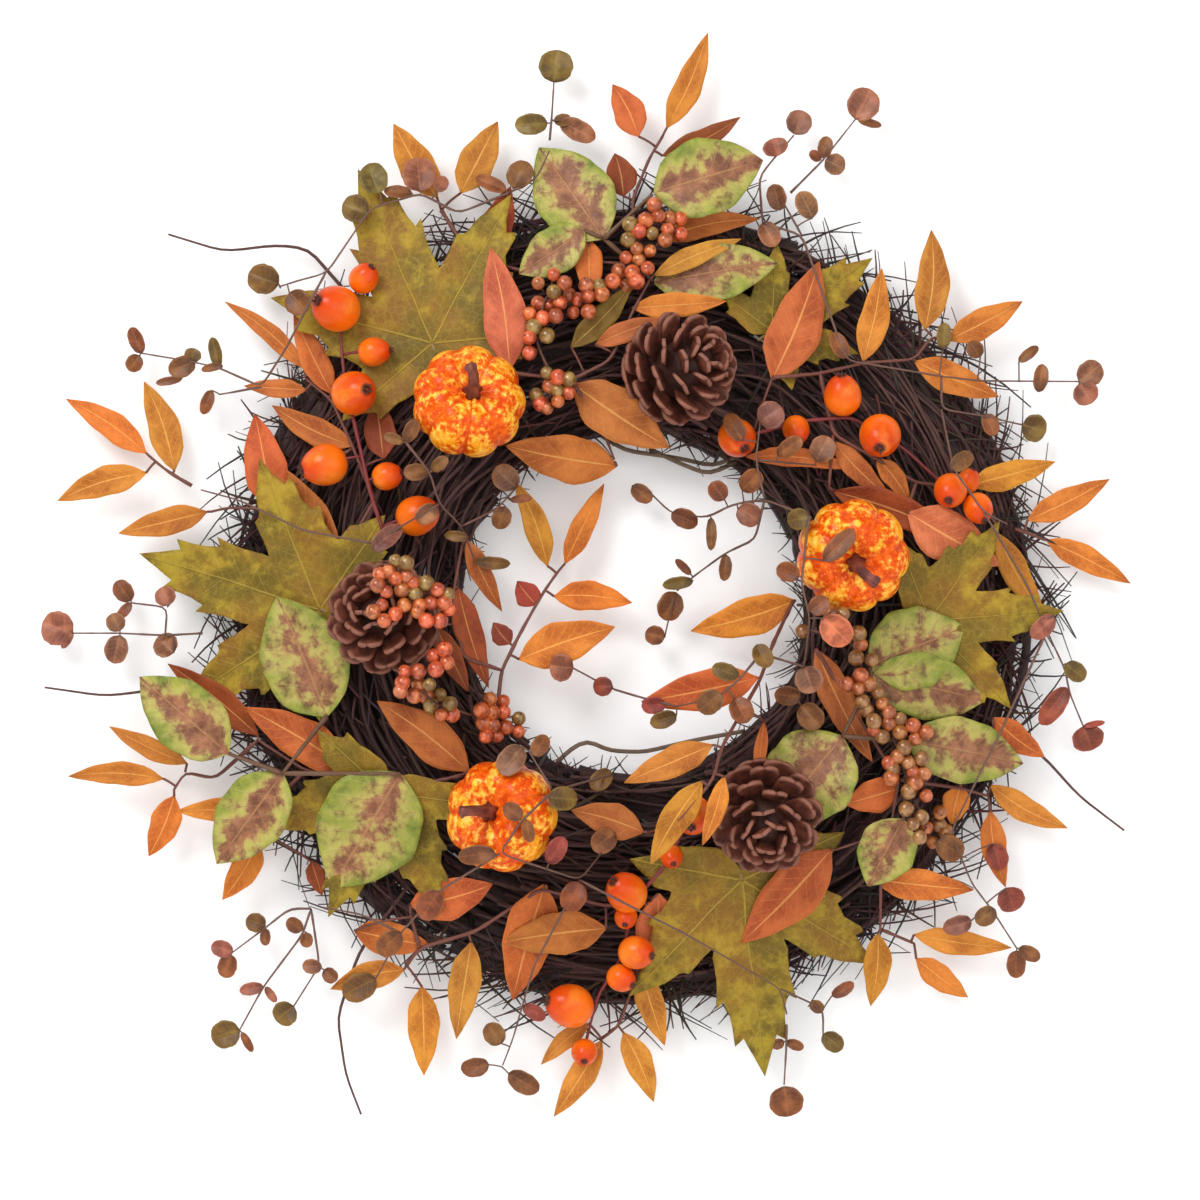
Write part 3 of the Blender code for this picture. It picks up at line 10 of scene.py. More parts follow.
import bmesh
import bpy
import numpy as np
from bpy.props import FloatProperty, FloatVectorProperty, IntProperty, PointerProperty
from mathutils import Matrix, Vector
from mathutils.bvhtree import BVHTree

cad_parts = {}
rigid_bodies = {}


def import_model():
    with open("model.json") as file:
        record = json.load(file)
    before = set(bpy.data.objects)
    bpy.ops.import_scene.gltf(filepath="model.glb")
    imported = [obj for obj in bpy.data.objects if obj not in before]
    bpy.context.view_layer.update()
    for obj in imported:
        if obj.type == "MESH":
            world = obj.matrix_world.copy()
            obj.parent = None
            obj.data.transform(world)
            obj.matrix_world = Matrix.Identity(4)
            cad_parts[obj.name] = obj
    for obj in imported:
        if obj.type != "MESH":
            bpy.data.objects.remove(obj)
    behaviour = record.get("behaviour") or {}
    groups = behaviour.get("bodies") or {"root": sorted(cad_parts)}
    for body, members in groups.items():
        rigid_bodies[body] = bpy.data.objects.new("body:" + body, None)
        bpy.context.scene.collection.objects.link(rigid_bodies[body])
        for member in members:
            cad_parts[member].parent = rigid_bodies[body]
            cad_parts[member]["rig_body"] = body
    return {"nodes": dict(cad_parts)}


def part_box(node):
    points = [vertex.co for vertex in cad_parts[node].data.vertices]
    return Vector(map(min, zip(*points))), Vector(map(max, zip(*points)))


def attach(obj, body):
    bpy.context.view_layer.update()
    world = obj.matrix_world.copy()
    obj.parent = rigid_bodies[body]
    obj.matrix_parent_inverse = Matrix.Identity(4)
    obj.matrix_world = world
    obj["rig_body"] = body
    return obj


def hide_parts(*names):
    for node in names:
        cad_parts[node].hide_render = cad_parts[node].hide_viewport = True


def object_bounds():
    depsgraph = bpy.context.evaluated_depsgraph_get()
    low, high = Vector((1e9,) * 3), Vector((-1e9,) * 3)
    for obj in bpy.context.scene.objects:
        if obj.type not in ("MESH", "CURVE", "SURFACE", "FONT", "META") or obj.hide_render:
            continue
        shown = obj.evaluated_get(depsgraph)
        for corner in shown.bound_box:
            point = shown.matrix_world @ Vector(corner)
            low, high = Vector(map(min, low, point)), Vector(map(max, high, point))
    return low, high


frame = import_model()
START_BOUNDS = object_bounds()

bl_info = {
    "name": "Harvest wreath",
    "version": (1, 0, 0),
    "blender": (4, 5, 0),
    "location": "View3D > Sidebar > Wreath",
    "description": "Twigs, leaves, berries and small pumpkins of a harvest door wreath",
    "category": "Add Mesh",
}

MM = 0.001
HOOP_LOW, HOOP_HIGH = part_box("wire_hoop")
CENTRE_X = (HOOP_LOW.x + HOOP_HIGH.x) / 2
CENTRE_Z = (HOOP_LOW.z + HOOP_HIGH.z) / 2

# Leaf colours, by letter
TINTS = {
    "G": (0.55, 0.18, 0.022), "B": (0.47, 0.115, 0.024), "D": (0.26, 0.050, 0.012), "P": (0.56, 0.135, 0.055),
    "O": (0.18, 0.088, 0.014), "M": (0.29, 0.095, 0.045), "R": (0.27, 0.045, 0.022), "T": (0.30, 0.11, 0.04),
    "N": (0.22, 0.066, 0.016),
}

HIP_STEM = (0.22, 0.02, 0.02)
PLAIN = (1, 1, 1)

# Leaves of each spray: base x, base z, tip x, tip z, width, colour
LAUREL = {
    "laurel_spray_left": [
        (-151, 109, -188, 140, 9, "B"), (-138, 97, -156, 134, 13, "B"), (-150, 99, -179, 101, 9, "B"),
        (-128, 73, -166, 92, 13, "B"), (-166, 45, -174, 88, 20, "B"), (-135, 20, -166, 66, 16, "B"),
        (-196, 43, -237, 33, 13, "G"), (-114, 67, -118, 95, 15, "D"),
    ],
    "laurel_spray_top": [
        (-70, 158, -56, 193, 16, "D"), (-90, 188, -110, 222, 17, "G"), (-79, 190, -62, 223, 17, "G"),
        (-20, 168, -19, 140, 13, "B"), (3, 216, -9, 240, 15, "B"), (16, 220, 35, 264, 13, "G"),
        (14, 207, 50, 225, 11, "D"), (-4, 188, -8, 208, 15, "D"), (12, 168, 59, 178, 12, "B"),
    ],
    "laurel_spray_inner_top": [
        (-56, 108, -65, 164, 20, "P"), (-27, 101, 17, 72, 24, "B"), (-7, 64, -58, 73, 22, "B"),
        (0, 136, 43, 139, 12, "G"), (10, 151, 50, 168, 10, "G"), (-17, 119, 16, 131, 10, "B"),
        (-28, 118, 0, 147, 12, "O"),
    ],
    "laurel_spray_right": [
        (64, 103, 86, 158, 24, "B"), (106, 112, 115, 155, 14, "G"), (135, 127, 138, 173, 16, "G"),
        (146, 122, 180, 140, 14, "G"), (130, 112, 169, 96, 15, "G"), (92, 75, 118, 49, 11, "B"),
        (112, 67, 127, 47, 10, "B"), (92, 52, 150, 30, 16, "D"), (126, 42, 168, 18, 24, "P"),
        (155, 55, 195, 66, 13, "G"), (168, 33, 190, -5, 13, "G"), (52, 68, 103, 62, 9, "B"),
    ],
    "laurel_spray_lower_left": [
        (-172, -60, -214, -27, 14, "D"), (-130, -75, -178, -47, 20, "B"), (-172, -108, -189, -136, 14, "G"),
        (-170, -97, -210, -95, 12, "G"), (-75, -76, -117, -44, 20, "B"), (-148, -118, -143, -134, 9, "D"),
        (-205, -73, -241, -56, 10, "G"), (-216, -80, -260, -79, 11, "G"), (-211, -88, -223, -116, 14, "G"),
    ],
    "laurel_spray_bottom": [
        (-40, -128, -55, -182, 24, "B"), (-12, -148, -60, -155, 20, "B"), (-102, -138, -64, -128, 20, "B"),
        (-128, -150, -93, -157, 16, "B"), (-105, -168, -139, -177, 13, "G"), (-97, -176, -96, -217, 15, "G"),
        (-74, -155, -81, -200, 15, "G"), (12, -132, 12, -176, 20, "P"), (4, -168, 15, -203, 13, "G"),
        (-4, -197, 10, -229, 13, "G"), (-14, -201, -36, -236, 13, "G"), (-20, -193, -42, -212, 9, "G"),
    ],
    "laurel_spray_inner_low": [
        (75, 2, 27, -12, 18, "G"), (57, -33, 4, -44, 19, "B"), (36, -63, -4, -80, 14, "G"),
        (31, -79, 8, -117, 14, "G"), (41, -77, 31, -108, 9, "G"), (5, -104, -28, -94, 16, "B"),
        (60, -53, 57, -85, 6, "B"),
    ],
    "laurel_spray_lower_right": [
        (84, -20, 110, -72, 15, "B"), (122, -84, 97, -91, 16, "B"), (91, -112, 50, -155, 25, "B"),
        (111, -126, 157, -131, 15, "G"), (151, -83, 147, -101, 13, "G"), (165, -83, 201, -103, 12, "G"),
        (166, -52, 190, -70, 13, "B"), (165, -95, 172, -130, 12, "B"), (113, -151, 110, -185, 13, "G"),
        (130, -152, 175, -158, 12, "G"), (131, -163, 155, -181, 12, "G"),
    ],
    "laurel_spray_hanging": [
        (-39, 18, -54, 57, 12, "G"), (-31, 19, -13, 56, 11, "G"), (-36, 4, 0, 1, 14, "G"),
        (-52, -25, -8, -10, 20, "G"), (-76, 30, -60, -3, 10, "B"), (-80, 8, -66, -38, 13, "D"),
        (-44, 0, -53, 11, 12, "R"), (-56, -18, -64, -8, 10, "R"), (-90, -10, -75, -40, 11, "D"),
    ],
    "gold_spray_left": [
        (-224, 70, -261, 95, 13, "G"), (-211, 62, -225, 103, 15, "G"), (-224, 61, -265, 48, 14, "G"),
    ],
    "gold_spray_right": [(182, 39, 220, 58, 13, "G"), (191, 30, 230, 10, 12, "G")],
}

MAGNOLIA = {
    "magnolia_spray_top": [
        (-13, 168, -43, 211, 36, 0.45), (10, 189, 60, 204, 36, 0.55), (10, 148, 67, 157, 27, 0.6),
        (-22, 172, -52, 152, 22, 0.7),
    ],
    "magnolia_spray_left": [
        (-140, -51, -163, 4, 40, 0.35), (-185, -68, -226, -33, 32, 0.5), (-160, -77, -191, -119, 32, 0.45),
        (-106, -77, -138, -130, 48, 0.5),
    ],
    "magnolia_spray_right": [
        (108, -28, 152, -10, 38, 0.5), (110, -32, 162, -44, 30, 0.6), (96, -60, 64, -100, 42, 0.4),
        (126, -62, 180, -73, 30, 0.65), (124, -98, 108, -129, 27, 0.4),
    ],
}

# Maple leaves: middle x, middle z, length of the middle lobe, its direction in degrees, side reach
MAPLE = {
    "maple_leaf_1": (-92, 120, 88, 113, 0.98), "maple_leaf_2": (-143, -2, 88, 163, 0.95),
    "maple_leaf_3": (64, 126, 58, 36, 0.8), "maple_leaf_4": (-113, -86, 64, 245, 1.05),
    "maple_leaf_5": (50, -126, 92, 277, 0.9), "maple_leaf_6": (136, -7, 62, 4, 1.0),
}

COIN = {
    "coin_spray_top": [
        (-36, 241, -34, 256, 16, "O"), (-39, 222, -54, 221, 10, "O"), (-36, 223, -28, 224, 6, "O"),
        (-33, 223, -17, 215, 10, "M"),
    ],
    "coin_spray_top_right": [
        (103, 224, 110, 238, 15, "M"), (104, 224, 115, 221, 4, "N"), (88, 206, 90, 216, 7, "N"),
        (89, 205, 98, 201, 10, "M"), (87, 205, 82, 209, 5, "N"),
    ],
    "coin_spray_bottom": [
        (70, -222, 72, -236, 16, "N"), (71, -201, 79, -204, 5, "N"), (70, -201, 64, -203, 5, "N"),
    ],
    "coin_spray_left": [
        (-258, -13, -272, -8, 16, "M"), (-258, -12, -263, -20, 4, "M"), (-236, -12, -240, -4, 9, "M"),
        (-236, -14, -239, -27, 11, "M"), (-231, 2, -238, 11, 9, "N"), (-231, 1, -237, -6, 5, "M"),
        (-213, 0, -217, 8, 10, "M"), (-211, -22, -219, -15, 12, "M"),
    ],
    "coin_spray_lower_left": [
        (-169, -148, -178, -145, 9, "N"), (-169, -149, -169, -157, 5, "N"), (-184, -160, -194, -157, 8, "M"),
        (-185, -161, -188, -172, 9, "N"), (-152, -150, -159, -145, 7, "N"), (-150, -151, -150, -158, 6, "N"),
        (-170, -176, -181, -178, 6, "M"), (-169, -176, -164, -183, 4, "M"), (-181, -196, -194, -200, 13, "O"),
        (-180, -197, -175, -206, 4, "N"), (-143, -167, -152, -166, 7, "M"), (-142, -168, -136, -173, 7, "N"),
        (-156, -185, -164, -192, 12, "O"),
    ],
    "coin_spray_upper_left": [
        (-121, 180, -133, 184, 13, "O"), (-116, 189, -121, 203, 13, "O"), (-101, 189, -114, 190, 6, "N"),
        (-97, 190, -99, 206, 16, "M"), (-90, 190, -86, 197, 7, "M"), (-58, 191, -72, 197, 7, "N"),
        (-55, 192, -48, 204, 12, "N"), (-163, 148, -177, 153, 14, "O"), (-157, 143, -149, 134, 12, "N"),
        (-226, 116, -231, 128, 7, "N"), (-227, 115, -232, 108, 8, "N"), (-201, 112, -213, 107, 10, "N"),
        (-203, 112, -201, 118, 8, "O"), (-207, 104, -219, 102, 4, "N"), (-190, 109, -193, 123, 6, "O"),
        (-188, 110, -198, 108, 4, "N"), (-194, 99, -198, 88, 6, "N"),
    ],
    "coin_spray_inner_left": [
        (-103, 74, -98, 84, 7, "N"), (-104, 74, -113, 77, 5, "N"), (-93, 61, -104, 60, 8, "N"),
        (-91, 61, -84, 67, 6, "N"), (-89, 45, -98, 38, 9, "M"), (-118, 25, -105, 36, 9, "M"),
        (-75, 31, -86, 32, 5, "O"), (-72, 20, -56, 19, 6, "O"), (-53, 54, -63, 63, 12, "M"),
        (-58, 45, -62, 35, 9, "N"), (-56, 48, -46, 49, 4, "N"),
    ],
    "coin_spray_low": [
        (-50, -64, -60, -76, 12, "M"), (-45, -68, -39, -59, 8, "N"), (-38, -87, -25, -88, 11, "O"),
        (-50, -96, -58, -90, 8, "N"), (-48, -97, -46, -107, 6, "N"), (-62, -112, -79, -114, 9, "N"),
        (-38, -117, -31, -105, 9, "R"), (-10, -76, -19, -84, 9, "O"), (-24, -126, -30, -139, 12, "D"),
        (-8, -104, -18, -112, 11, "N"), (-88, -130, -96, -143, 12, "N"), (-106, -150, -116, -160, 11, "N"),
        (-118, -172, -133, -180, 13, "O"), (-60, -202, -67, -193, 10, "N"), (-66, -212, -79, -214, 9, "N"),
        (-57, -216, -43, -224, 10, "N"), (-50, -184, -40, -190, 7, "R"), (88, -198, 97, -205, 9, "O"),
        (88, -187, 82, -183, 6, "N"), (92, -180, 102, -174, 6, "N"),
    ],
    "coin_spray_right": [
        (206, 103, 216, 111, 12, "M"), (206, 102, 212, 93, 12, "M"), (187, 98, 189, 111, 7, "N"),
        (178, 112, 187, 119, 5, "N"), (160, 114, 155, 121, 8, "N"), (163, 88, 167, 78, 8, "N"),
        (180, 83, 191, 80, 13, "O"), (208, -56, 212, -67, 15, "R"), (200, -38, 188, -55, 10, "R"),
        (199, -27, 208, -34, 9, "O"), (193, -5, 183, -15, 9, "M"), (177, -159, 177, -172, 9, "N"),
        (178, -158, 188, -163, 7, "N"), (167, -140, 158, -146, 9, "N"), (156, -145, 143, -149, 9, "M"),
        (172, -130, 176, -141, 13, "R"), (140, -108, 152, -115, 12, "N"), (166, -110, 170, -122, 10, "R"),
        (60, 176, 66, 165, 10, "M"), (83, 178, 77, 190, 10, "T"), (68, 182, 65, 194, 9, "M"),
        (98, 113, 92, 125, 8, "N"), (145, 62, 155, 69, 8, "N"), (143, 118, 144, 130, 7, "O"),
        (75, 217, 79, 228, 12, "M"), (67, 206, 64, 214, 12, "M"), (208, -56, 218, -54, 3, "R"),
    ],
    "coin_spray_inner_right": [
        (-27, -29, -38, -28, 13, "M"), (-9, -37, -18, -37, 9, "R"), (15, -45, 4, -46, 8, "R"),
        (20, -50, 8, -54, 8, "O"), (15, -15, 6, -13, 9, "N"), (43, 23, 42, 11, 6, "N"),
        (27, 14, 20, 21, 4, "N"),
        (28, 11, 14, 9, 6, "O"), (20, 6, 15, -7, 12, "N"), (0, 55, 9, 48, 8, "N"), (18, 42, 30, 37, 9, "N"),
        (36, 40, 36, 25, 5, "N"), (42, 48, 36, 56, 9, "N"), (48, 44, 58, 38, 11, "M"),
        (50, 52, 58, 61, 10, "N"),
        (50, 75, 43, 87, 9, "N"), (58, 83, 68, 90, 13, "M"), (66, 68, 77, 76, 8, "N"),
        (84, 66, 90, 77, 12, "M"),
        (80, 40, 70, 38, 10, "O"), (86, 20, 100, 34, 9, "N"), (75, 13, 65, 17, 9, "N"),
        (80, -3, 88, 3, 9, "N"),
        (86, -6, 98, -17, 14, "P"), (78, -28, 82, -40, 13, "M"), (77, -42, 65, -41, 9, "N"),
        (77, -46, 86, -56, 12, "N"), (56, -18, 62, -28, 9, "O"), (48, -32, 36, -28, 8, "O"),
        (40, -40, 30, -48, 11, "N"), (46, -42, 52, -53, 11, "N"),
    ],
}

# Rose hips: x, z, radius
HIPS = {
    "hip_spray_left": [
        (-136, 136, 11), (-123, 150, 7), (-118, 116, 7), (-127, 97, 10.5), (-141, 64, 10), (-112, 59, 6.7),
        (-98, 41, 9.5),
    ],
    "hip_spray_right": [
        (96, 96, 9), (48, 76, 9), (75, 80, 6.5), (113, 77, 10), (145, 52, 8), (154, 57, 5.5), (158, 44, 7),
    ],
    "hip_spray_bottom": [
        (27, -95, 9), (18, -115, 5.5), (-3, -131, 9.5), (-3, -143, 5.5), (2, -159, 8), (-5, -171, 6.5),
        (-29, -184, 10.5), (-22, -206, 6.3),
    ],
}

# Small berries: x, z
BERRIES = {
    "berry_spray_top": [
        (-47, 115), (-47, 122), (-39, 123), (-45, 127), (-41, 131), (-35, 132), (-47, 133), (-43, 138),
        (-38, 137), (-33, 138), (-43, 147), (-36, 151), (-36, 143), (-31, 147), (-29, 142), (-27, 134),
        (-20, 134), (-20, 141), (-21, 146), (-25, 140), (-15, 146), (-14, 142), (-9, 148), (-3, 146),
        (2, 148), (-6, 153), (0, 152), (-3, 159), (3, 158), (7, 154), (2, 163), (8, 162), (-2, 167), (3, 171),
        (9, 170), (15, 167), (-1, 174), (6, 176), (12, 178), (10, 183), (16, 172), (22, 170), (17, 177),
        (22, 177), (-39, 106), (-34, 104), (-29, 103), (-44, 96), (-38, 100), (-34, 98), (-29, 97),
        (-42, 92), (-39, 90), (-34, 93),
    ],
    "berry_spray_left": [
        (-107, 20), (-102, 19), (-114, 14), (-110, 15), (-107, 12), (-102, 13), (-115, 9), (-111, 6),
        (-104, 7),
        (-99, 10), (-93, 10), (-98, 5), (-96, 0), (-91, 1), (-88, 7), (-83, 5), (-85, 1), (-83, -2),
        (-87, -7),
        (-93, -7), (-97, -3), (-103, 0), (-107, -4), (-112, -7), (-113, 0), (-117, -3), (-85, -20),
        (-90, -23),
        (-84, -26), (-97, -30), (-89, -29), (-103, -30), (-104, -35), (-97, -36), (-105, -39), (-99, -41),
        (-92, -36), (-94, -42), (-88, -41), (-92, -46), (-87, -50), (-82, -50), (-83, -45), (-65, -43),
        (-59, -44), (-69, -48), (-64, -49), (-59, -49), (-68, -54), (-64, -55), (-58, -56), (-67, -60),
        (-62, -60), (-52, -52), (-52, -58),
    ],
    "berry_spray_right": [
        (78, -12), (88, -8), (90, -4), (95, -4), (103, -13), (104, -18), (102, -24), (109, -25), (104, -32),
        (98, -36), (108, -36), (103, -38), (112, -40), (105, -44), (114, -45), (107, -48), (117, -49),
        (110, -53), (117, -54), (122, -52), (128, -55), (110, -57), (122, -58), (114, -60), (129, -61),
        (134, -58), (124, -65), (121, -69), (117, -72), (126, -72), (132, -70), (119, -75), (128, -76),
        (133, -77), (118, -79), (129, -81), (126, -85), (134, -87), (141, -95), (125, -93), (132, -97),
        (128, -100), (135, -102), (144, -104), (141, -101), (131, -106), (138, -109), (145, -108),
    ],
}

# Stems: runs of points; each run after the first starts on an earlier one
STEMS = {
    "laurel_spray_left": [
        [(-118, 48), (-128, 72), (-138, 94), (-150, 104)],
        [(-128, 72), (-160, 52), (-168, 44), (-186, 45), (-194, 43)], [(-118, 48), (-133, 22)],
    ],
    "laurel_spray_top": [
        [(-88, 182), (-74, 160), (-45, 152), (-20, 158), (2, 156), (12, 166)],
        [(2, 156), (0, 186), (8, 206), (14, 216)],
    ],
    "laurel_spray_inner_top": [
        [(-54, 106), (-28, 103), (-10, 112), (0, 134), (8, 149)], [(-28, 103), (-14, 82), (-8, 66)],
    ],
    "laurel_spray_right": [
        [(64, 104), (86, 106), (106, 111), (130, 113), (138, 124), (145, 122)],
        [(86, 106), (92, 78), (110, 68), (130, 56), (154, 54), (168, 36)], [(92, 78), (90, 54)],
        [(130, 56), (126, 44)],
    ],
    "laurel_spray_lower_left": [
        [(-78, -78), (-104, -84), (-128, -78), (-150, -76), (-172, -62)],
        [(-150, -76), (-166, -92), (-172, -105)], [(-172, -62), (-192, -80), (-206, -77), (-211, -85)],
    ],
    "laurel_spray_bottom": [
        [(-104, -166), (-98, -158), (-72, -150), (-42, -130), (-12, -138), (8, -136), (4, -164), (-6, -194),
         (-14, -200)],
        [(-98, -158), (-102, -142)],
    ],
    "laurel_spray_inner_low": [[(74, 2), (64, -18), (58, -34), (40, -64), (36, -78), (20, -98), (7, -104)]],
    "laurel_spray_lower_right": [
        [(84, -20), (100, -46), (122, -80), (118, -104), (93, -112)], [(118, -104), (114, -126), (114, -149)],
        [(122, -80), (150, -84), (164, -88)], [(150, -84), (166, -56)], [(114, -149), (130, -156)],
    ],
    "laurel_spray_hanging": [
        [(-62, -48), (-60, -30), (-51, -12), (-42, 4), (-36, 13), (-32, 18)],
        [(-60, -30), (-78, -24), (-82, 6), (-78, 28)],
    ],
    "gold_spray_left": [[(-203, 55), (-210, 59), (-216, 63), (-223, 69)]],
    "gold_spray_right": [[(176, 35), (183, 33), (190, 30)]],
    "magnolia_spray_top": [[(-13, 168), (10, 189)], [(-13, 168), (10, 148)], [(-22, 172), (-13, 168)]],
    "magnolia_spray_left": [
        [(-140, -51), (-160, -77)], [(-160, -77), (-185, -68)], [(-160, -77), (-106, -77)],
    ],
    "magnolia_spray_right": [[(108, -28), (110, -32), (96, -60)], [(96, -60), (126, -62), (124, -98)]],
    "coin_spray_top": [[(-38, 214), (-37, 225), (-36, 242)]],
    "coin_spray_top_right": [[(73, 190), (88, 205), (103, 224)]],
    "coin_spray_bottom": [[(71, -193), (71, -203), (70, -222)]],
    "coin_spray_left": [
        [(-198, -13), (-215, -14), (-236, -13), (-258, -13)], [(-215, -14), (-214, -1), (-231, 1)],
    ],
    "coin_spray_lower_left": [
        [(-148, -140), (-158, -140), (-168, -148), (-184, -160)],
        [(-148, -140), (-152, -152), (-170, -176), (-181, -196)], [(-148, -140), (-144, -166), (-156, -185)],
    ],
    "coin_spray_upper_left": [
        [(-56, 190), (-80, 180), (-97, 189), (-120, 182), (-140, 152), (-162, 146)],
        [(-140, 152), (-158, 118), (-170, 100), (-190, 109), (-203, 112), (-226, 116)],
        [(-170, 100), (-190, 97)], [(-56, 190), (-44, 196), (-38, 209)],
    ],
    "coin_spray_inner_left": [
        [(-103, 74), (-92, 60), (-88, 46), (-78, 36), (-72, 20)], [(-78, 36), (-62, 44), (-54, 53)],
        [(-88, 46), (-118, 28)], [(-118, 28), (-150, 34), (-180, 48), (-198.5, 53)],
    ],
    "coin_spray_low": [
        [(-10, -78), (-36, -84), (-50, -97), (-60, -112), (-40, -119), (-24, -125), (-8, -106)],
        [(-36, -84), (-47, -66)], [(-60, -112), (-88, -130), (-106, -150), (-118, -172)],
        [(-24, -125), (-45, -165), (-55, -200), (-60, -213)],
        [(-24, -125), (24, -150), (68, -176), (71, -188)],
        [(68, -176), (88, -186), (88, -197)], [(-106, -150), (-124, -142), (-143, -139)],
    ],
    "coin_spray_right": [
        [(60, 176), (78, 170), (98, 112), (142, 105), (160, 103), (206, 103)], [(78, 170), (70, 185)],
        [(142, 105), (142, 90), (162, 87), (180, 83)], [(142, 90), (146, 62), (160, 42), (171, 37)],
        [(160, 42), (180, 10), (190, -12), (199, -30), (201, -40), (208, -56)],
        [(190, -12), (168, -60), (146, -104), (156, -128), (166, -141), (177, -158)],
        [(60, 176), (58, 196), (66, 206), (75, 217)],
    ],
    "coin_spray_inner_right": [
        [(80, 40), (78, 28), (76, 10), (80, -6), (78, -28), (76, -44)],
        [(80, 40), (60, 48), (46, 46), (34, 40), (18, 42), (6, 54)], [(60, 48), (56, 66), (58, 82)],
        [(60, 48), (56, 30), (43, 24), (28, 13), (20, 6)],
        [(78, -28), (58, -22), (48, -34), (38, -42), (20, -46)],
        [(20, -46), (4, -42), (-10, -38), (-27, -29)], [(56, 66), (84, 64)],
    ],
    "hip_spray_left": [[(-114, 34), (-120, 52), (-126, 78), (-132, 104), (-134, 126), (-126, 146)]],
    "hip_spray_right": [[(48, 76), (76, 84), (100, 86), (124, 72), (146, 52), (156, 48)]],
    "hip_spray_bottom": [[(27, -95), (16, -118), (0, -136), (-4, -160), (-16, -180), (-22, -204)]],
    "berry_spray_top": [
        [(-44, 98), (-34, 98), (-44, 120), (-40, 142), (-28, 140), (-12, 146), (0, 152), (2, 168), (18, 174)],
    ],
    "berry_spray_left": [
        [(-116, 0), (-106, 12), (-94, 4), (-88, -10), (-88, -26), (-100, -34), (-90, -45), (-68, -52),
         (-54, -54)],
    ],
    "berry_spray_right": [
        [(79, -11), (100, -16), (108, -38), (118, -56), (124, -76), (132, -96), (140, -104)],
    ],
}

LOOSE_TWIGS = {
    3: [[(-214, 171), (-188, 163), (-165, 166), (-150, 165), (-128, 140), (-110, 118)]],
    4: [
        [(-271, -38), (-243, -42), (-226, -40), (-190, -34), (-150, -24)],
        [(-125, -235), (-132, -217), (-136, -190), (-126, -160), (-96, -120)],
    ],
    6: [[(227, -104), (206, -88), (190, -70), (164, -52), (130, -40)]],
}
VINES = {
    2: [[(-14, 78), (-3, 71), (20, 68), (38, 64), (56, 72)], [(8, 72), (20, 66), (35, 60), (48, 66)]],
    5: [[(-34, -72), (-28, -66), (-20, -62), (-12, -67), (5, -68), (30, -62), (52, -58)]],
}
CONE_LEANS = {"pinecone_1": (0.62, 0.20), "pinecone_2": (-0.20, 0.16), "pinecone_3": (0.02, -0.34)}
CREST = ((71, 9.0), (75, 16.0), (86, 24.0), (104, 27.0), (128, 27.0), (160, 17.0), (184, 9.0), (188, 7.0))

# Sizes in millimetres; where the twigs run is a radius and how far it may grow
TWIG_RADII = (80, 181)
UNDER_TWIGS = (82, 97)
BACK_TWIGS = (83, 95)
BACK_TWIG_COUNT = 44
PUMPKIN_RADIUS = 26.0
PUMPKIN_HALF_HEIGHT = 19.0
PUMPKIN_LOBES = 9
CONE_SCALES = 50
CONE_REACH = 26.5
CAMERA_SHIFT = (-14.8, 2.3)

GOLDEN_ANGLE = 2.39996
LENS = 200


def spot(x, z, height):
    """Point of the row frame: x and z from the ring's middle, height in front of the door plane."""
    return Vector((CENTRE_X + x * MM, -height * MM, CENTRE_Z + z * MM))


class Relief:
    """The front of a CAD node: how far in front of the door plane it stands at a place."""

    def __init__(self, name):
        data = frame["nodes"][name].data
        corners = [v.co for v in data.vertices]
        self.tree = BVHTree.FromPolygons(corners, [p.vertices for p in data.polygons])
        co = np.array(corners)
        self.x = (co[:, 0] - CENTRE_X) / MM
        self.z = (co[:, 2] - CENTRE_Z) / MM
        self.h = -co[:, 1] / MM

    def front(self, x, z):
        """Height of the node's front at a place, or None beside it."""
        hit = self.tree.ray_cast(spot(x, z, 300), Vector((0, 1, 0)))[0]
        return None if hit is None else -hit.y / MM

    def back(self, x, z):
        """Height of the node's back at a place, or None beside it."""
        hit = self.tree.ray_cast(spot(x, z, -100), Vector((0, -1, 0)))[0]
        return None if hit is None else -hit.y / MM

    def stem(self, x, z):
        """Height of a stem's middle at a place on it."""
        found = self.back(x, z)
        return self.near(x, z) if found is None else found + 1.0

    def near(self, x, z):
        """Height of the node near a place."""
        order = np.argsort(np.hypot(self.x - x, self.z - z))[:5]
        return float(np.mean(self.h[order]))

    def height(self, x, z):
        """Height of the front, or of what is near."""
        found = self.front(x, z)
        return self.near(x, z) if found is None else found


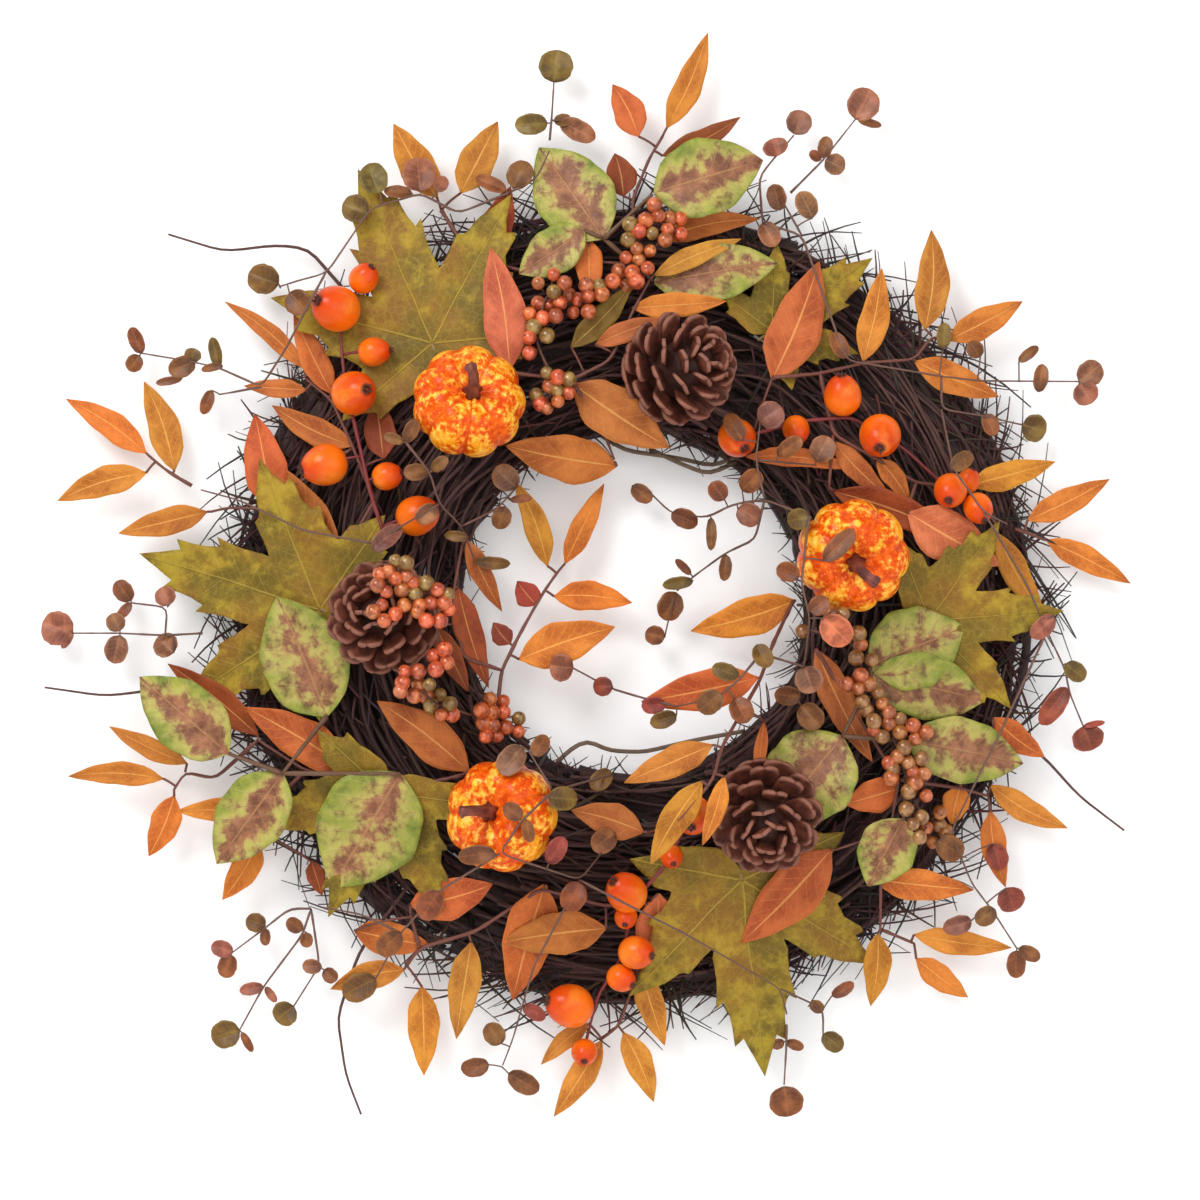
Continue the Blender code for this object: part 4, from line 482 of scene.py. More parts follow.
class Heap:
    """Vertices and faces of one piece, gathered copy by copy."""

    def __init__(self):
        self.points = []
        self.faces = []
        self.uv = []
        self.tint = []
        self.tone = []
        self.slot = []
        self.count = 0

    def add(self, points, faces, uv=None, tint=(1, 1, 1), tone=0.5, slot=0):
        """Add one copy; tone may hold a value for each point."""
        total = len(points)
        self.points.append(np.asarray(points, float))
        self.faces += [tuple(int(i) + self.count for i in face) for face in faces]
        self.slot += [slot] * len(faces)
        self.uv.append(np.zeros((total, 2)) if uv is None else np.asarray(uv, float))
        self.tint.append(np.tile(np.array([*tint, 1.0]), (total, 1)))
        self.tone.append(np.broadcast_to(np.asarray(tone, float), (total,)))
        self.count += total

    def build(self, name, body, nodes, materials, slot_name):
        """Make the piece; it rides on a body and stands for its CAD nodes."""
        data = bpy.data.meshes.new(name)
        data.from_pydata(np.concatenate(self.points).tolist(), [], self.faces)
        data.update()
        corner = np.empty(len(data.loops), np.int32)
        data.loops.foreach_get("vertex_index", corner)
        layer = data.uv_layers.new(name="shape")
        layer.data.foreach_set("uv", np.concatenate(self.uv)[corner].ravel())
        tint = data.attributes.new("tint", "FLOAT_COLOR", "POINT")
        tint.data.foreach_set("color", np.concatenate(self.tint).ravel())
        tone = data.attributes.new("tone", "FLOAT", "POINT")
        tone.data.foreach_set("value", np.concatenate(self.tone))
        for material in materials:
            data.materials.append(material)
        data.polygons.foreach_set("material_index", self.slot)
        data.polygons.foreach_set("use_smooth", [True] * len(data.polygons))
        piece = bpy.data.objects.new(name, data)
        bpy.context.scene.collection.objects.link(piece)
        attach(piece, body)
        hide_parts(*nodes)
        return piece


def body_of(node):
    """The body that a CAD node belongs to."""
    return frame["nodes"][node]["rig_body"]


def tube(points, radii, sides=6):
    """Points and faces of a closed round bar; points are vectors, radii in metres."""
    verts = []
    faces = []
    normal = None
    count = len(points)
    for i, point in enumerate(points):
        along = (points[min(i + 1, count - 1)] - points[max(i - 1, 0)]).normalized()
        if normal is None:
            guide = Vector((0, 0, 1)) if abs(along.z) < 0.8 else Vector((1, 0, 0))
            normal = along.cross(guide).normalized()
        normal = (normal - along * normal.dot(along)).normalized()
        side = along.cross(normal)
        for k in range(sides):
            angle = math.tau * k / sides
            verts.append(point + (normal * math.cos(angle) + side * math.sin(angle)) * radii[i])
    for i in range(count - 1):
        for k in range(sides):
            j = (k + 1) % sides
            faces.append((i * sides + k, (i + 1) * sides + k, (i + 1) * sides + j, i * sides + j))
    faces.append(tuple(range(sides)))
    faces.append(tuple(reversed(range((count - 1) * sides, count * sides))))
    uv = [(i / (count - 1), k / sides) for i in range(count) for k in range(sides)]
    return [tuple(v) for v in verts], [tuple(reversed(f)) for f in faces], uv


def crest(radius):
    """Height of the ring's rounded front at a distance from its middle."""
    return float(np.interp(radius, *zip(*CREST)))


def smooth_run(run, step=3.0):
    """Points along a run about a step apart, rounded at its corners."""
    fine = []
    walked = 0.0
    stops = [0.0]
    for (x0, z0), (x1, z1) in zip(run, run[1:]):
        walked += math.hypot(x1 - x0, z1 - z0)
        stops.append(walked)
    count = max(3, int(walked / step))
    for k in range(count + 1):
        s = walked * k / count
        x = z = weight = 0.0
        for offset in (-0.5, 0.0, 0.5):
            t = min(max(s + offset * step * 2.2, 0.0), walked)
            w = 1.0 if offset == 0 else 0.6
            if s in (0.0, walked):
                t = s
            x += w * np.interp(t, stops, [p[0] for p in run])
            z += w * np.interp(t, stops, [p[1] for p in run])
            weight += w
        fine.append((x / weight, z / weight))
    return fine


def nearest_on(runs, x, z):
    """The point on some runs nearest to a place."""
    best = None
    for run in runs:
        for (x0, z0), (x1, z1) in zip(run, run[1:]):
            length = math.hypot(x1 - x0, z1 - z0)
            t = min(max(((x - x0) * (x1 - x0) + (z - z0) * (z1 - z0)) / length ** 2, 0.0), 1.0)
            px, pz = x0 + (x1 - x0) * t, z0 + (z1 - z0) * t
            gap = math.hypot(x - px, z - pz)
            if best is None or gap < best[0]:
                best = (gap, px, pz)
    return best


def add_stems(heap, relief, name, radius, tint, rng):
    """Tubes along a spray's stems, on the CAD stems."""
    for n, run in enumerate(STEMS[name]):
        fine = smooth_run(run)
        raw = np.array([relief.stem(x, z) for x, z in fine])
        wide = np.concatenate([raw[:2], raw, raw[-2:]])
        heights = np.array([np.median(wide[k:k + 5]) for k in range(len(raw))])
        heights[1:-1] = (heights[:-2] + heights[1:-1] + heights[2:]) / 3
        points = [spot(x, z, h) for (x, z), h in zip(fine, heights)]
        count = len(points)
        taper = [1.1 - 0.45 * k / (count - 1) for k in range(count)]
        girth = [radius * MM * share * rng.uniform(0.85, 1.15) for share in taper]
        if n:
            girth[0] = radius * MM * 0.7
        heap.add(*tube(points, girth, 6), tint, rng.random(), 1)


def add_stalk(heap, relief, name, x, z, height, radius, tint, tone):
    """Short stalk from the nearest stem to a leaf's or a berry's base."""
    gap, px, pz = nearest_on(STEMS[name], x, z)
    if gap < 0.8:
        return
    start = relief.stem(px, pz)
    count = max(3, int(gap / 2.5))
    points = []
    for k in range(count + 1):
        t = k / count
        bow = 0.08 * gap * math.sin(math.pi * t)
        level = start + (height - start) * t + bow
        points.append(spot(px + (x - px) * t, pz + (z - pz) * t + bow * 0.5, level))
    heap.add(*tube(points, [radius * MM] * len(points), 5), tint, tone, 1)


def begin():
    """Nothing selected before a new primitive is added."""
    bpy.ops.object.select_all(action="DESELECT")


def choose(thing, members):
    """Select some vertices, by number, and stay in edit mode."""
    bpy.ops.object.mode_set(mode="EDIT")
    bpy.ops.mesh.select_mode(type="VERT")
    bpy.ops.mesh.select_all(action="DESELECT")
    bpy.ops.object.mode_set(mode="OBJECT")
    for number in members:
        thing.data.vertices[number].select = True
    bpy.ops.object.mode_set(mode="EDIT")


class Blade:
    """A leaf one unit long and one wide, modelled once: a sheet drawn in at every row to the outline."""

    def __init__(self, along, across, outline, crease):
        begin()
        bpy.ops.mesh.primitive_grid_add(
            x_subdivisions=along, y_subdivisions=across, size=1, location=(0.5, 0, 0)
        )
        bpy.ops.object.transform_apply(location=True)
        thing = bpy.context.active_object
        self.across = np.array([v.co.y * 2 for v in thing.data.vertices])
        shares, widths = zip(*outline)
        rows = []
        for row in range(along + 1):
            place = row / along
            share = (1 - math.cos(math.pi * place)) / 2
            rows.append([v.index for v in thing.data.vertices if abs(v.co.x - place) < 0.25 / along])
            width = float(np.interp(share, shares, widths))
            choose(thing, rows[-1])
            bpy.ops.transform.resize(value=(1, width, 1), center_override=(place, 0, 0))
        for row, members in enumerate(rows):
            share = (1 - math.cos(math.pi * row / along)) / 2
            choose(thing, members)
            bpy.ops.transform.translate(value=(share - row / along, 0, 0))
        choose(thing, [v.index for v in thing.data.vertices if abs(v.co.y) < 1e-4])
        bpy.ops.transform.translate(value=(0, 0, -crease))
        bpy.ops.object.mode_set(mode="OBJECT")
        self.across = np.concatenate([self.across, self.across])
        sheet = thing.modifiers.new("thickness", "SOLIDIFY")
        sheet.thickness = 0.02
        sheet.offset = 0.0
        bpy.ops.object.modifier_apply(modifier=sheet.name)
        self.co = np.array([v.co for v in thing.data.vertices])
        count = len(self.co) // 2
        self.side = np.repeat((1.0, -1.0), count)
        if self.co[0, 2] < self.co[count, 2]:
            self.side = -self.side
        self.faces = [tuple(p.vertices) for p in thing.data.polygons]
        bpy.data.objects.remove(thing, do_unlink=True)


def leaf_line(leaf):
    """A leaf's base, its direction, its length and its width."""
    bx, bz, tx, tz, width = leaf[:5]
    length = math.hypot(tx - bx, tz - bz)
    return bx, bz, (tx - bx) / length, (tz - bz) / length, length, width


def leaf_plane(relief, leaf):
    """The plane that a CAD leaf lies in: height at the base, slope along and slope across."""
    bx, bz, ux, uz, length, width = leaf_line(leaf)
    rows = []
    for s in (0.18, 0.32, 0.46, 0.6, 0.74, 0.88):
        for t in (-0.24, 0.0, 0.24):
            a, c = s * length, t * width
            found = relief.front(bx + ux * a - uz * c, bz + uz * a + ux * c)
            if found is not None:
                rows.append((a, c, found))
    if len(rows) < 4:
        return relief.near(bx, bz) + 0.6, 0.0, 0.0
    rows = np.array(rows)
    for _ in range(3):
        lhs = np.column_stack([np.ones(len(rows)), rows[:, 0], rows[:, 1]])
        fit = np.linalg.lstsq(lhs, rows[:, 2], rcond=None)[0]
        miss = rows[:, 2] - lhs @ fit
        keep = miss < max(1.2, np.median(np.abs(miss)) * 2)
        if keep.all() or keep.sum() < 4:
            break
        rows = rows[keep]
    return float(fit[0]), float(np.clip(fit[1], -0.45, 0.45)), float(np.clip(fit[2], -0.3, 0.3))


def add_leaf(heap, relief, blade, leaf, tint, tone, shape, rng):
    """Place one leaf; returns the height of its base."""
    bx, bz, ux, uz, length, width = leaf_line(leaf)
    base, slope, roll = leaf_plane(relief, leaf)
    s, t = np.clip(blade.co[:, 0], 0, 1), blade.across
    wave = shape["wave"] * width * 0.5 * np.sin(s * rng.uniform(9, 13) + rng.uniform(0, 6)) * np.abs(t) ** 1.5
    ragged = 1 + shape["wave"] * 0.6 * np.sin(s * rng.uniform(14, 22) + np.sign(t) * 1.3 + tone * 9)
    across = blade.co[:, 1] * width * ragged
    along = s * length
    half = np.abs(blade.co[:, 1]) * width
    sway = shape["sway"] * length * np.sin(math.pi * s) * (tone - 0.5) * 2
    cup = shape["cup"] * (half - 0.15 * width)
    bow = shape["bow"] * length * (0.12 - (s - 0.45) ** 2) * (0.5 + tone)
    twist = shape["twist"] * (rng.random() - 0.5) * across * (s - 0.3)
    skin = shape["thickness"] / 2 * blade.side
    lift = base + slope * along + roll * across + cup + wave + bow + twist + skin
    xs = bx + ux * along - uz * (across + sway)
    zs = bz + uz * along + ux * (across + sway)
    points = np.column_stack([CENTRE_X + xs * MM, -lift * MM, CENTRE_Z + zs * MM])
    heap.add(points, blade.faces, np.column_stack([s, (t + 1) / 2]), tint, tone)
    return base


# --- shader maths -----------------------------------------------------------------------------------------


class Value:
    """A shader socket that Python's own arithmetic builds on."""

    def __init__(self, sheet, socket):
        self.sheet = sheet
        self.socket = socket

    def calc(self, operation, *others, clamp=False):
        """One Math node."""
        node = self.sheet.tree.nodes.new("ShaderNodeMath")
        node.operation = operation
        node.use_clamp = clamp
        for slot, item in zip(node.inputs, (self, *others)):
            self.sheet.feed(slot, item)
        return Value(self.sheet, node.outputs[0])

    def __add__(self, other):
        return self.calc("ADD", other)

    __radd__ = __add__

    def __sub__(self, other):
        return self.calc("SUBTRACT", other)

    def __rsub__(self, other):
        return self.sheet.number(other).calc("SUBTRACT", self)

    def __mul__(self, other):
        return self.calc("MULTIPLY", other)

    __rmul__ = __mul__

    def __truediv__(self, other):
        return self.calc("DIVIDE", other)

    def __pow__(self, other):
        return self.calc("POWER", other)

    def __abs__(self):
        return self.calc("ABSOLUTE")

    def sin(self):
        """Sine."""
        return self.calc("SINE")

    def fract(self):
        """Fraction."""
        return self.calc("FRACT")

    def step(self, low, high):
        """Smooth rise from 0 at low to 1 at high."""
        node = self.sheet.tree.nodes.new("ShaderNodeMapRange")
        node.interpolation_type = "SMOOTHSTEP"
        self.sheet.feed(node.inputs["Value"], self)
        flip = low > high
        self.sheet.feed(node.inputs["From Min"], high if flip else low)
        self.sheet.feed(node.inputs["From Max"], low if flip else high)
        node.inputs["To Min"].default_value = 1.0 if flip else 0.0
        node.inputs["To Max"].default_value = 0.0 if flip else 1.0
        return Value(self.sheet, node.outputs[0])


class Sheet:
    """One material's node tree."""

    def __init__(self, name, roughness=0.5, metallic=0.0, coat=0.0, specular=0.5):
        self.material = bpy.data.materials.new(name)
        self.material.use_nodes = True
        self.tree = self.material.node_tree
        self.shader = self.tree.nodes["Principled BSDF"]
        self.shader.inputs["Roughness"].default_value = roughness
        self.shader.inputs["Metallic"].default_value = metallic
        self.shader.inputs["Coat Weight"].default_value = coat
        self.shader.inputs["Coat Roughness"].default_value = 0.12
        self.shader.inputs["Specular IOR Level"].default_value = specular

    def feed(self, slot, item):
        """Link a value to an input, or set the input to a constant."""
        if isinstance(item, Value):
            self.tree.links.new(item.socket, slot)
        elif isinstance(item, tuple):
            slot.default_value = (*item, 1.0) if len(slot.default_value) == 4 else item
        else:
            slot.default_value = item

    def node(self, kind, settings=None, output=0, **sockets):
        """Any other node: its type, its settings and what feeds its sockets."""
        node = self.tree.nodes.new(kind)
        for key, value in (settings or {}).items():
            setattr(node, key, value)
        for key, value in sockets.items():
            self.feed(node.inputs[key.replace("_", " ")], value)
        return Value(self, node.outputs[output])

    def number(self, value):
        """A constant."""
        node = self.tree.nodes.new("ShaderNodeValue")
        node.outputs[0].default_value = value
        return Value(self, node.outputs[0])

    def along_across(self):
        """A leaf's own place: along it from 0 to 1, and across it from -1 to 1."""
        uv = self.node("ShaderNodeUVMap", {"uv_map": "shape"})
        split = self.node("ShaderNodeSeparateXYZ", None, 0, Vector=uv)
        across = Value(self, split.socket.node.outputs[1])
        return split, across * 2 - 1

    def attribute(self, name, output):
        """An attribute of the piece."""
        settings = {"attribute_name": name, "attribute_type": "GEOMETRY"}
        return self.node("ShaderNodeAttribute", settings, output)

    def tint(self):
        """The copy's own colour."""
        return self.attribute("tint", 0)

    def tone(self):
        """The copy's own random number; on the pumpkins, the groove at each point, from which their painted
        groove shade and crown highlight are made.
        """
        return self.attribute("tone", 2)

    def place(self):
        """Object coordinates."""
        return self.node("ShaderNodeTexCoord", None, 3)

    def stretched(self, vector, scale):
        """Coordinates drawn out differently along each axis."""
        return self.node("ShaderNodeMapping", None, 0, Vector=vector, Scale=scale)

    def noise(self, scale, detail=3.0, vector=None, rough=0.5):
        """Soft noise between 0 and 1."""
        return self.node(
            "ShaderNodeTexNoise", None, 0, Vector=vector or self.place(), Scale=scale, Detail=detail,
            Roughness=rough,
        )

    def blend(self, factor, first, second, mode="MIX"):
        """Colour mix."""
        node = self.tree.nodes.new("ShaderNodeMix")
        node.data_type = "RGBA"
        node.blend_type = mode
        self.feed(node.inputs[0], factor)
        self.feed(node.inputs[6], first)
        self.feed(node.inputs[7], second)
        return Value(self, node.outputs[2])

    def finish(self, colour, roughness=None, bump=None, distance=0.3, strength=0.6):
        """Feed the shader; bump is a height between 0 and 1, distance in millimetres."""
        self.feed(self.shader.inputs["Base Color"], colour)
        if roughness is not None:
            self.feed(self.shader.inputs["Roughness"], roughness)
        if bump is not None:
            depth = distance * MM
            node = self.node("ShaderNodeBump", None, 0, Height=bump, Distance=depth, Strength=strength)
            self.tree.links.new(node.socket, self.shader.inputs["Normal"])
        return self.material


def side_veins(along, edge, count, lean, thin):
    """Mask of curved side veins that leave the midrib and fade before the rim."""
    run = (along * count - edge * lean + edge * edge * 0.7).fract() - 0.5
    return abs(run).step(thin, 0.0) * edge.step(1.0, 0.7)


def network(sheet, scale, thin):
    """Mask of a fine net of small veins."""
    cells = sheet.node(
        "ShaderNodeTexVoronoi", {"feature": "DISTANCE_TO_EDGE"}, 0, Vector=sheet.place(), Scale=scale
    )
    return cells.step(thin, 0.0)


def speckled(sheet, colour, scale, low, high, share=0.45):
    """The colour with a fine printed grain."""
    fine = sheet.noise(scale, 4)
    return sheet.blend(share, colour, sheet.blend(fine, (low,) * 3, (high,) * 3), "MULTIPLY"), fine


def laurel_paint():
    """Printed cloth leaf: pale midrib, side veins and a fine net, with darker blotches."""
    sheet = Sheet("laurel_leaf", roughness=0.55, specular=0.22)
    along, across = sheet.along_across()
    edge = abs(across)
    tint = sheet.tint()
    blotch = sheet.noise(60, 5)
    dark = sheet.blend(1.0, tint, (0.52, 0.36, 0.30), "MULTIPLY")
    light = sheet.blend(1.0, tint, (1.45, 1.75, 1.9), "MULTIPLY")
    colour = sheet.blend((blotch + edge * 0.25).step(0.35, 0.85) * 0.75, tint, dark)
    colour = sheet.blend((blotch * 1.4 - edge * 0.5).step(0.62, 0.25) * 0.4, colour, light)
    colour = sheet.blend((along - edge * 0.3).step(0.62, 1.0) * 0.35, colour, dark)
    ribs = side_veins(along, edge, 9, 2.4, 0.075)
    net = network(sheet, 420, 0.10)
    midrib = edge.step(0.07, 0.02)
    colour = sheet.blend(net * 0.22, colour, light)
    colour = sheet.blend(ribs * 0.5, colour, light)
    colour = sheet.blend(midrib * 0.8, colour, sheet.blend(0.5, light, (0.72, 0.40, 0.12)))
    colour = sheet.blend(edge.step(0.90, 1.0) * 0.5, colour, light)
    colour, fine = speckled(sheet, colour, 520, 0.62, 1.3)
    return sheet.finish(colour, None, midrib * 0.6 + ribs * 0.35 + net * 0.2 + fine * 0.3, 0.35, 0.7)


def magnolia_paint():
    """Broad leaf: green rim, mauve-brown middle, yellow-green streaks along its veins."""
    sheet = Sheet("magnolia_leaf", roughness=0.45, specular=0.3)
    along, across = sheet.along_across()
    edge = abs(across)
    tone = sheet.tone()
    blotch = sheet.noise(42, 6, None, 0.6)
    ragged = sheet.noise(150, 5, None, 0.65)
    wave = abs((along * 7 - edge * 1.9 + edge * edge * 0.7).fract() - 0.5) * 2
    green = sheet.blend(ragged.step(0.3, 0.7), (0.115, 0.155, 0.016), (0.30, 0.31, 0.042))
    brown = sheet.blend(ragged.step(0.3, 0.7), (0.14, 0.046, 0.022), (0.38, 0.155, 0.075))
    reach = edge * 0.8 + (ragged - 0.5) * 1.2 + (blotch - 0.5) * 2.4 + wave * 0.2 - tone * 0.45
    colour = sheet.blend(reach.step(0.10, 0.70), brown, green)
    streak = reach.step(0.00, 0.30) * reach.step(0.86, 0.38)
    colour = sheet.blend(streak * ragged.step(0.30, 0.62) * 0.75, colour, (0.46, 0.42, 0.10))
    ribs = side_veins(along, edge, 7, 1.9, 0.06)
    net = network(sheet, 300, 0.07)
    midrib = edge.step(0.05, 0.012)
    pale = sheet.blend(edge, (0.42, 0.20, 0.09), (0.40, 0.45, 0.10))
    colour = sheet.blend(net * 0.15, colour, pale)
    colour = sheet.blend(ribs * 0.42, colour, pale)
    colour = sheet.blend(midrib * 0.7, colour, (0.40, 0.20, 0.08))
    colour, fine = speckled(sheet, colour, 480, 0.66, 1.3)
    return sheet.finish(colour, None, midrib * 0.7 + ribs * 0.5 + net * 0.2 + fine * 0.25, 0.5, 0.8)


def maple_paint():
    """Lobed leaf: olive green and gold, with yellow veins that fan out from the middle."""
    sheet = Sheet("maple_leaf", roughness=0.55, specular=0.22)
    uv = sheet.node("ShaderNodeUVMap", {"uv_map": "shape"})
    split = sheet.node("ShaderNodeSeparateXYZ", None, 0, Vector=uv)
    bend = sheet.noise(30, 2) * 0.02
    u = split - 0.5
    v = Value(sheet, split.socket.node.outputs[1]) - 0.51 + bend
    reach = (u * u + v * v) ** 0.5
    veins = sheet.number(0.0)
    sides = sheet.number(0.0)
    for angle in (0, 51, -51, 108, -108):
        c, s = math.cos(math.radians(angle)), math.sin(math.radians(angle))
        off = abs(v * c - u * s)
        ahead = u * c + v * s
        forward = ahead.step(0.0, 0.01)
        near = off.step(0.13, 0.02) * (ahead - off * 1.6).step(-0.02, 0.03)
        veins = veins.calc("MAXIMUM", (off + reach * 0.004).step(0.0046, 0.0012) * forward)
        side = abs((ahead * 17 - off * 15).fract() - 0.5).step(0.055, 0.0)
        sides = sides.calc("MAXIMUM", side * forward * near)
    blotch = sheet.noise(38, 5)
    patch = sheet.noise(95, 5, None, 0.65)
    net = network(sheet, 260, 0.07)
    colour = sheet.blend(blotch.step(0.36, 0.62), (0.132, 0.088, 0.008), (0.285, 0.152, 0.014))
    colour = sheet.blend((blotch - patch * 0.6).step(0.22, 0.34) * 0.5, colour, (0.15, 0.058, 0.012))
    colour = sheet.blend((patch + reach * 0.5).step(0.58, 0.80) * 0.7, colour, (0.42, 0.29, 0.022))
    colour = sheet.blend(net * 0.22, colour, (0.44, 0.32, 0.05))
    colour = sheet.blend(sides * 0.3, colour, (0.42, 0.31, 0.05))
    colour = sheet.blend(veins * 0.6, colour, (0.46, 0.32, 0.05))
    colour, fine = speckled(sheet, colour, 460, 0.6, 1.3)
    return sheet.finish(colour, None, veins * 0.8 + sides * 0.3 + fine * 0.3 + patch * 0.3, 0.6, 0.9)


def coin_paint():
    """Small thin leaf with a painted light rim along its edge, standing in for light shining through it."""
    sheet = Sheet("coin_leaf", roughness=0.42, specular=0.35)
    along, across = sheet.along_across()
    edge = abs(across)
    tint = sheet.tint()
    blotch = sheet.noise(140, 4)
    light = sheet.blend(1.0, tint, (1.6, 2.0, 2.2), "MULTIPLY")
    dark = sheet.blend(1.0, tint, (0.45, 0.42, 0.45), "MULTIPLY")
    colour = sheet.blend((blotch * 1.3 + along * 0.4).step(0.55, 1.15), dark, tint)
    colour = sheet.blend((blotch - edge * 0.2).step(0.40, 0.65) * 0.45, colour, light)
    # painted light: a pale rim where light would shine through the thin leaf edge
    colour = sheet.blend(edge.step(0.75, 1.0) * 0.5, colour, light)
    ribs = side_veins(along, edge, 6, 1.6, 0.09)
    midrib = edge.step(0.10, 0.03)
    colour = sheet.blend(ribs * 0.35, colour, light)
    colour = sheet.blend(midrib * 0.28, colour, light)
    colour, fine = speckled(sheet, colour, 600, 0.7, 1.2)
    return sheet.finish(colour, None, midrib * 0.6 + ribs * 0.4 + fine * 0.3, 0.25, 0.6)


def stem_paint():
    """Wrapped stem: a fine mottled grain and a soft sheen."""
    sheet = Sheet("stem", roughness=0.55)
    place = sheet.place()
    rough = sheet.noise(700, 3, place)
    colour = sheet.blend(rough, sheet.blend(1.0, sheet.tint(), (0.5, 0.5, 0.5), "MULTIPLY"), sheet.tint())
    return sheet.finish(colour, None, rough, 0.2, 0.8)


def twig_paint():
    """Dark vine bark with pale lengthwise scratches."""
    sheet = Sheet("twig_bark", roughness=0.62)
    uv = sheet.node("ShaderNodeUVMap", {"uv_map": "shape"})
    grain = sheet.noise(6, 5, sheet.stretched(uv, (14.0, 9.0, 1.0)), 0.65)
    knots = sheet.noise(260, 3)
    tint = sheet.tint()
    dark = sheet.blend(1.0, tint, (0.35, 0.32, 0.34), "MULTIPLY")
    colour = sheet.blend((grain + knots * 0.4).step(0.45, 0.85), dark, tint)
    colour = sheet.blend((grain - 0.2).step(0.42, 0.62) * 0.35, colour, (0.20, 0.14, 0.12))
    return sheet.finish(colour, None, grain + knots * 0.5, 0.5, 0.9)


def hip_paint():
    """Glossy orange skin, redder towards the crown, with dark freckles."""
    sheet = Sheet("hip_skin", roughness=0.26, coat=0.15, specular=0.15)
    along, _ = sheet.along_across()
    cloud = sheet.noise(85, 4)
    colour = sheet.blend((along + cloud * 0.7).step(0.60, 1.35), (0.86, 0.150, 0.004), (0.62, 0.050, 0.003))
    colour = sheet.blend(cloud.step(0.50, 0.72) * 0.55, colour, (0.88, 0.27, 0.025))
    freckle = sheet.node("ShaderNodeTexVoronoi", None, 0, Vector=sheet.place(), Scale=330.0)
    colour = sheet.blend(freckle.step(0.16, 0.05) * 0.5, colour, (0.25, 0.03, 0.008))
    colour = sheet.blend(along.step(0.955, 0.99) * 0.9, colour, (0.10, 0.02, 0.008))
    return sheet.finish(colour, cloud * 0.2 + 0.2, cloud, 0.25, 0.3)


def berry_paint():
    """Copper berry with paler patches painted as a pearly sheen; the tint makes some of them olive-gold."""
    sheet = Sheet("berry_skin", roughness=0.3, metallic=0.15, coat=0.35)
    tint = sheet.tint()
    cloud = sheet.noise(300, 3)
    dark = sheet.blend(1.0, tint, (0.50, 0.38, 0.34), "MULTIPLY")
    # painted sheen: paler patches laid by noise stand in for a pearly sheen
    painted_pearly_sheen = sheet.blend(0.30, tint, (0.85, 0.55, 0.38))
    colour = sheet.blend(cloud.step(0.38, 0.62), dark, tint)
    colour = sheet.blend((cloud - 0.02).step(0.55, 0.72) * 0.6, colour, painted_pearly_sheen)
    colour = sheet.blend(sheet.tone() * 0.3, colour, dark)
    return sheet.finish(colour, cloud * 0.2 + 0.2, cloud, 0.1, 0.4)


def pumpkin_paint():
    """Mottled skin: deep orange with ragged yellow patches and pale specks, with painted shade darkening the
    grooves and a painted highlight that leans the yellow to the lobe crowns.
    """
    sheet = Sheet("pumpkin_skin", roughness=0.28, coat=0.12, specular=0.12)
    tone = sheet.tone()
    along, _ = sheet.along_across()
    big = sheet.noise(75, 3)
    ragged = sheet.noise(360, 5, None, 0.6)
    specks = sheet.node("ShaderNodeTexVoronoi", None, 0, Vector=sheet.place(), Scale=480.0)
    orange = sheet.blend(ragged.step(0.35, 0.65), (0.62, 0.050, 0.001), (0.90, 0.14, 0.002))
    yellow = sheet.blend(ragged.step(0.45, 0.7), (0.92, 0.32, 0.006), (0.98, 0.62, 0.10))
    # painted highlight: tone is high on the lobe crowns, so the yellow mottling leans to them; the yellow
    # patches themselves are the skin's own colour
    mask = (big * 0.95 + ragged * 0.95 + tone * 0.28 - along * 0.16).step(0.98, 1.20)
    colour = sheet.blend(mask, orange, yellow)
    colour = sheet.blend(specks.step(0.20, 0.08) * 0.6, colour, (0.95, 0.50, 0.10))
    # painted shade: deep orange laid where tone is low, in the grooves between the lobes
    colour = sheet.blend(tone.step(0.32, 0.0) * 0.6, colour, (0.40, 0.040, 0.004))
    return sheet.finish(colour, ragged * 0.2 + 0.25, ragged + big, 0.4, 0.5)


def stalk_paint():
    """Pumpkin stalk: maroon with pale ridges."""
    sheet = Sheet("stalk", roughness=0.5)
    rough = sheet.noise(180, 5)
    colour = sheet.blend(rough.step(0.35, 0.7), (0.085, 0.014, 0.012), (0.24, 0.055, 0.03))
    return sheet.finish(colour, None, rough, 0.5, 0.8)


def cone_paint():
    """Pine-cone scale: red-brown body with a paler rim, and painted shade darkening its root where the next
    scales cover it.
    """
    sheet = Sheet("cone_scale", roughness=0.55, specular=0.3)
    along, across = sheet.along_across()
    grain = sheet.noise(170, 5)
    fibres = sheet.noise(60, 5, sheet.stretched(sheet.place(), (4.0, 1.0, 4.0)))
    colour = sheet.blend((grain + fibres).step(0.7, 1.25), (0.062, 0.0165, 0.010), (0.180, 0.050, 0.028))
    rim = (along * 0.9 + abs(across) * 0.35 + grain * 0.2).step(0.98, 1.22)
    colour = sheet.blend(rim * 0.65, colour, (0.31, 0.125, 0.08))
    # painted shade: the scale's root, tucked under the next scales, is darkened
    colour = sheet.blend(along.step(0.55, 0.15) * 0.85, colour, (0.030, 0.010, 0.007))
    return sheet.finish(colour, None, grain + fibres, 0.6, 0.9)


def wire_paint():
    """Dull dark iron wire with rusty patches."""
    sheet = Sheet("iron_wire", roughness=0.5, metallic=0.8)
    rust = sheet.noise(300, 4)
    colour = sheet.blend(rust.step(0.45, 0.65), (0.08, 0.075, 0.07), (0.16, 0.07, 0.035))
    return sheet.finish(colour, rust * 0.4 + 0.3, rust, 0.1, 0.5)


# --- pieces -----------------------------------------------------------------------------------------------


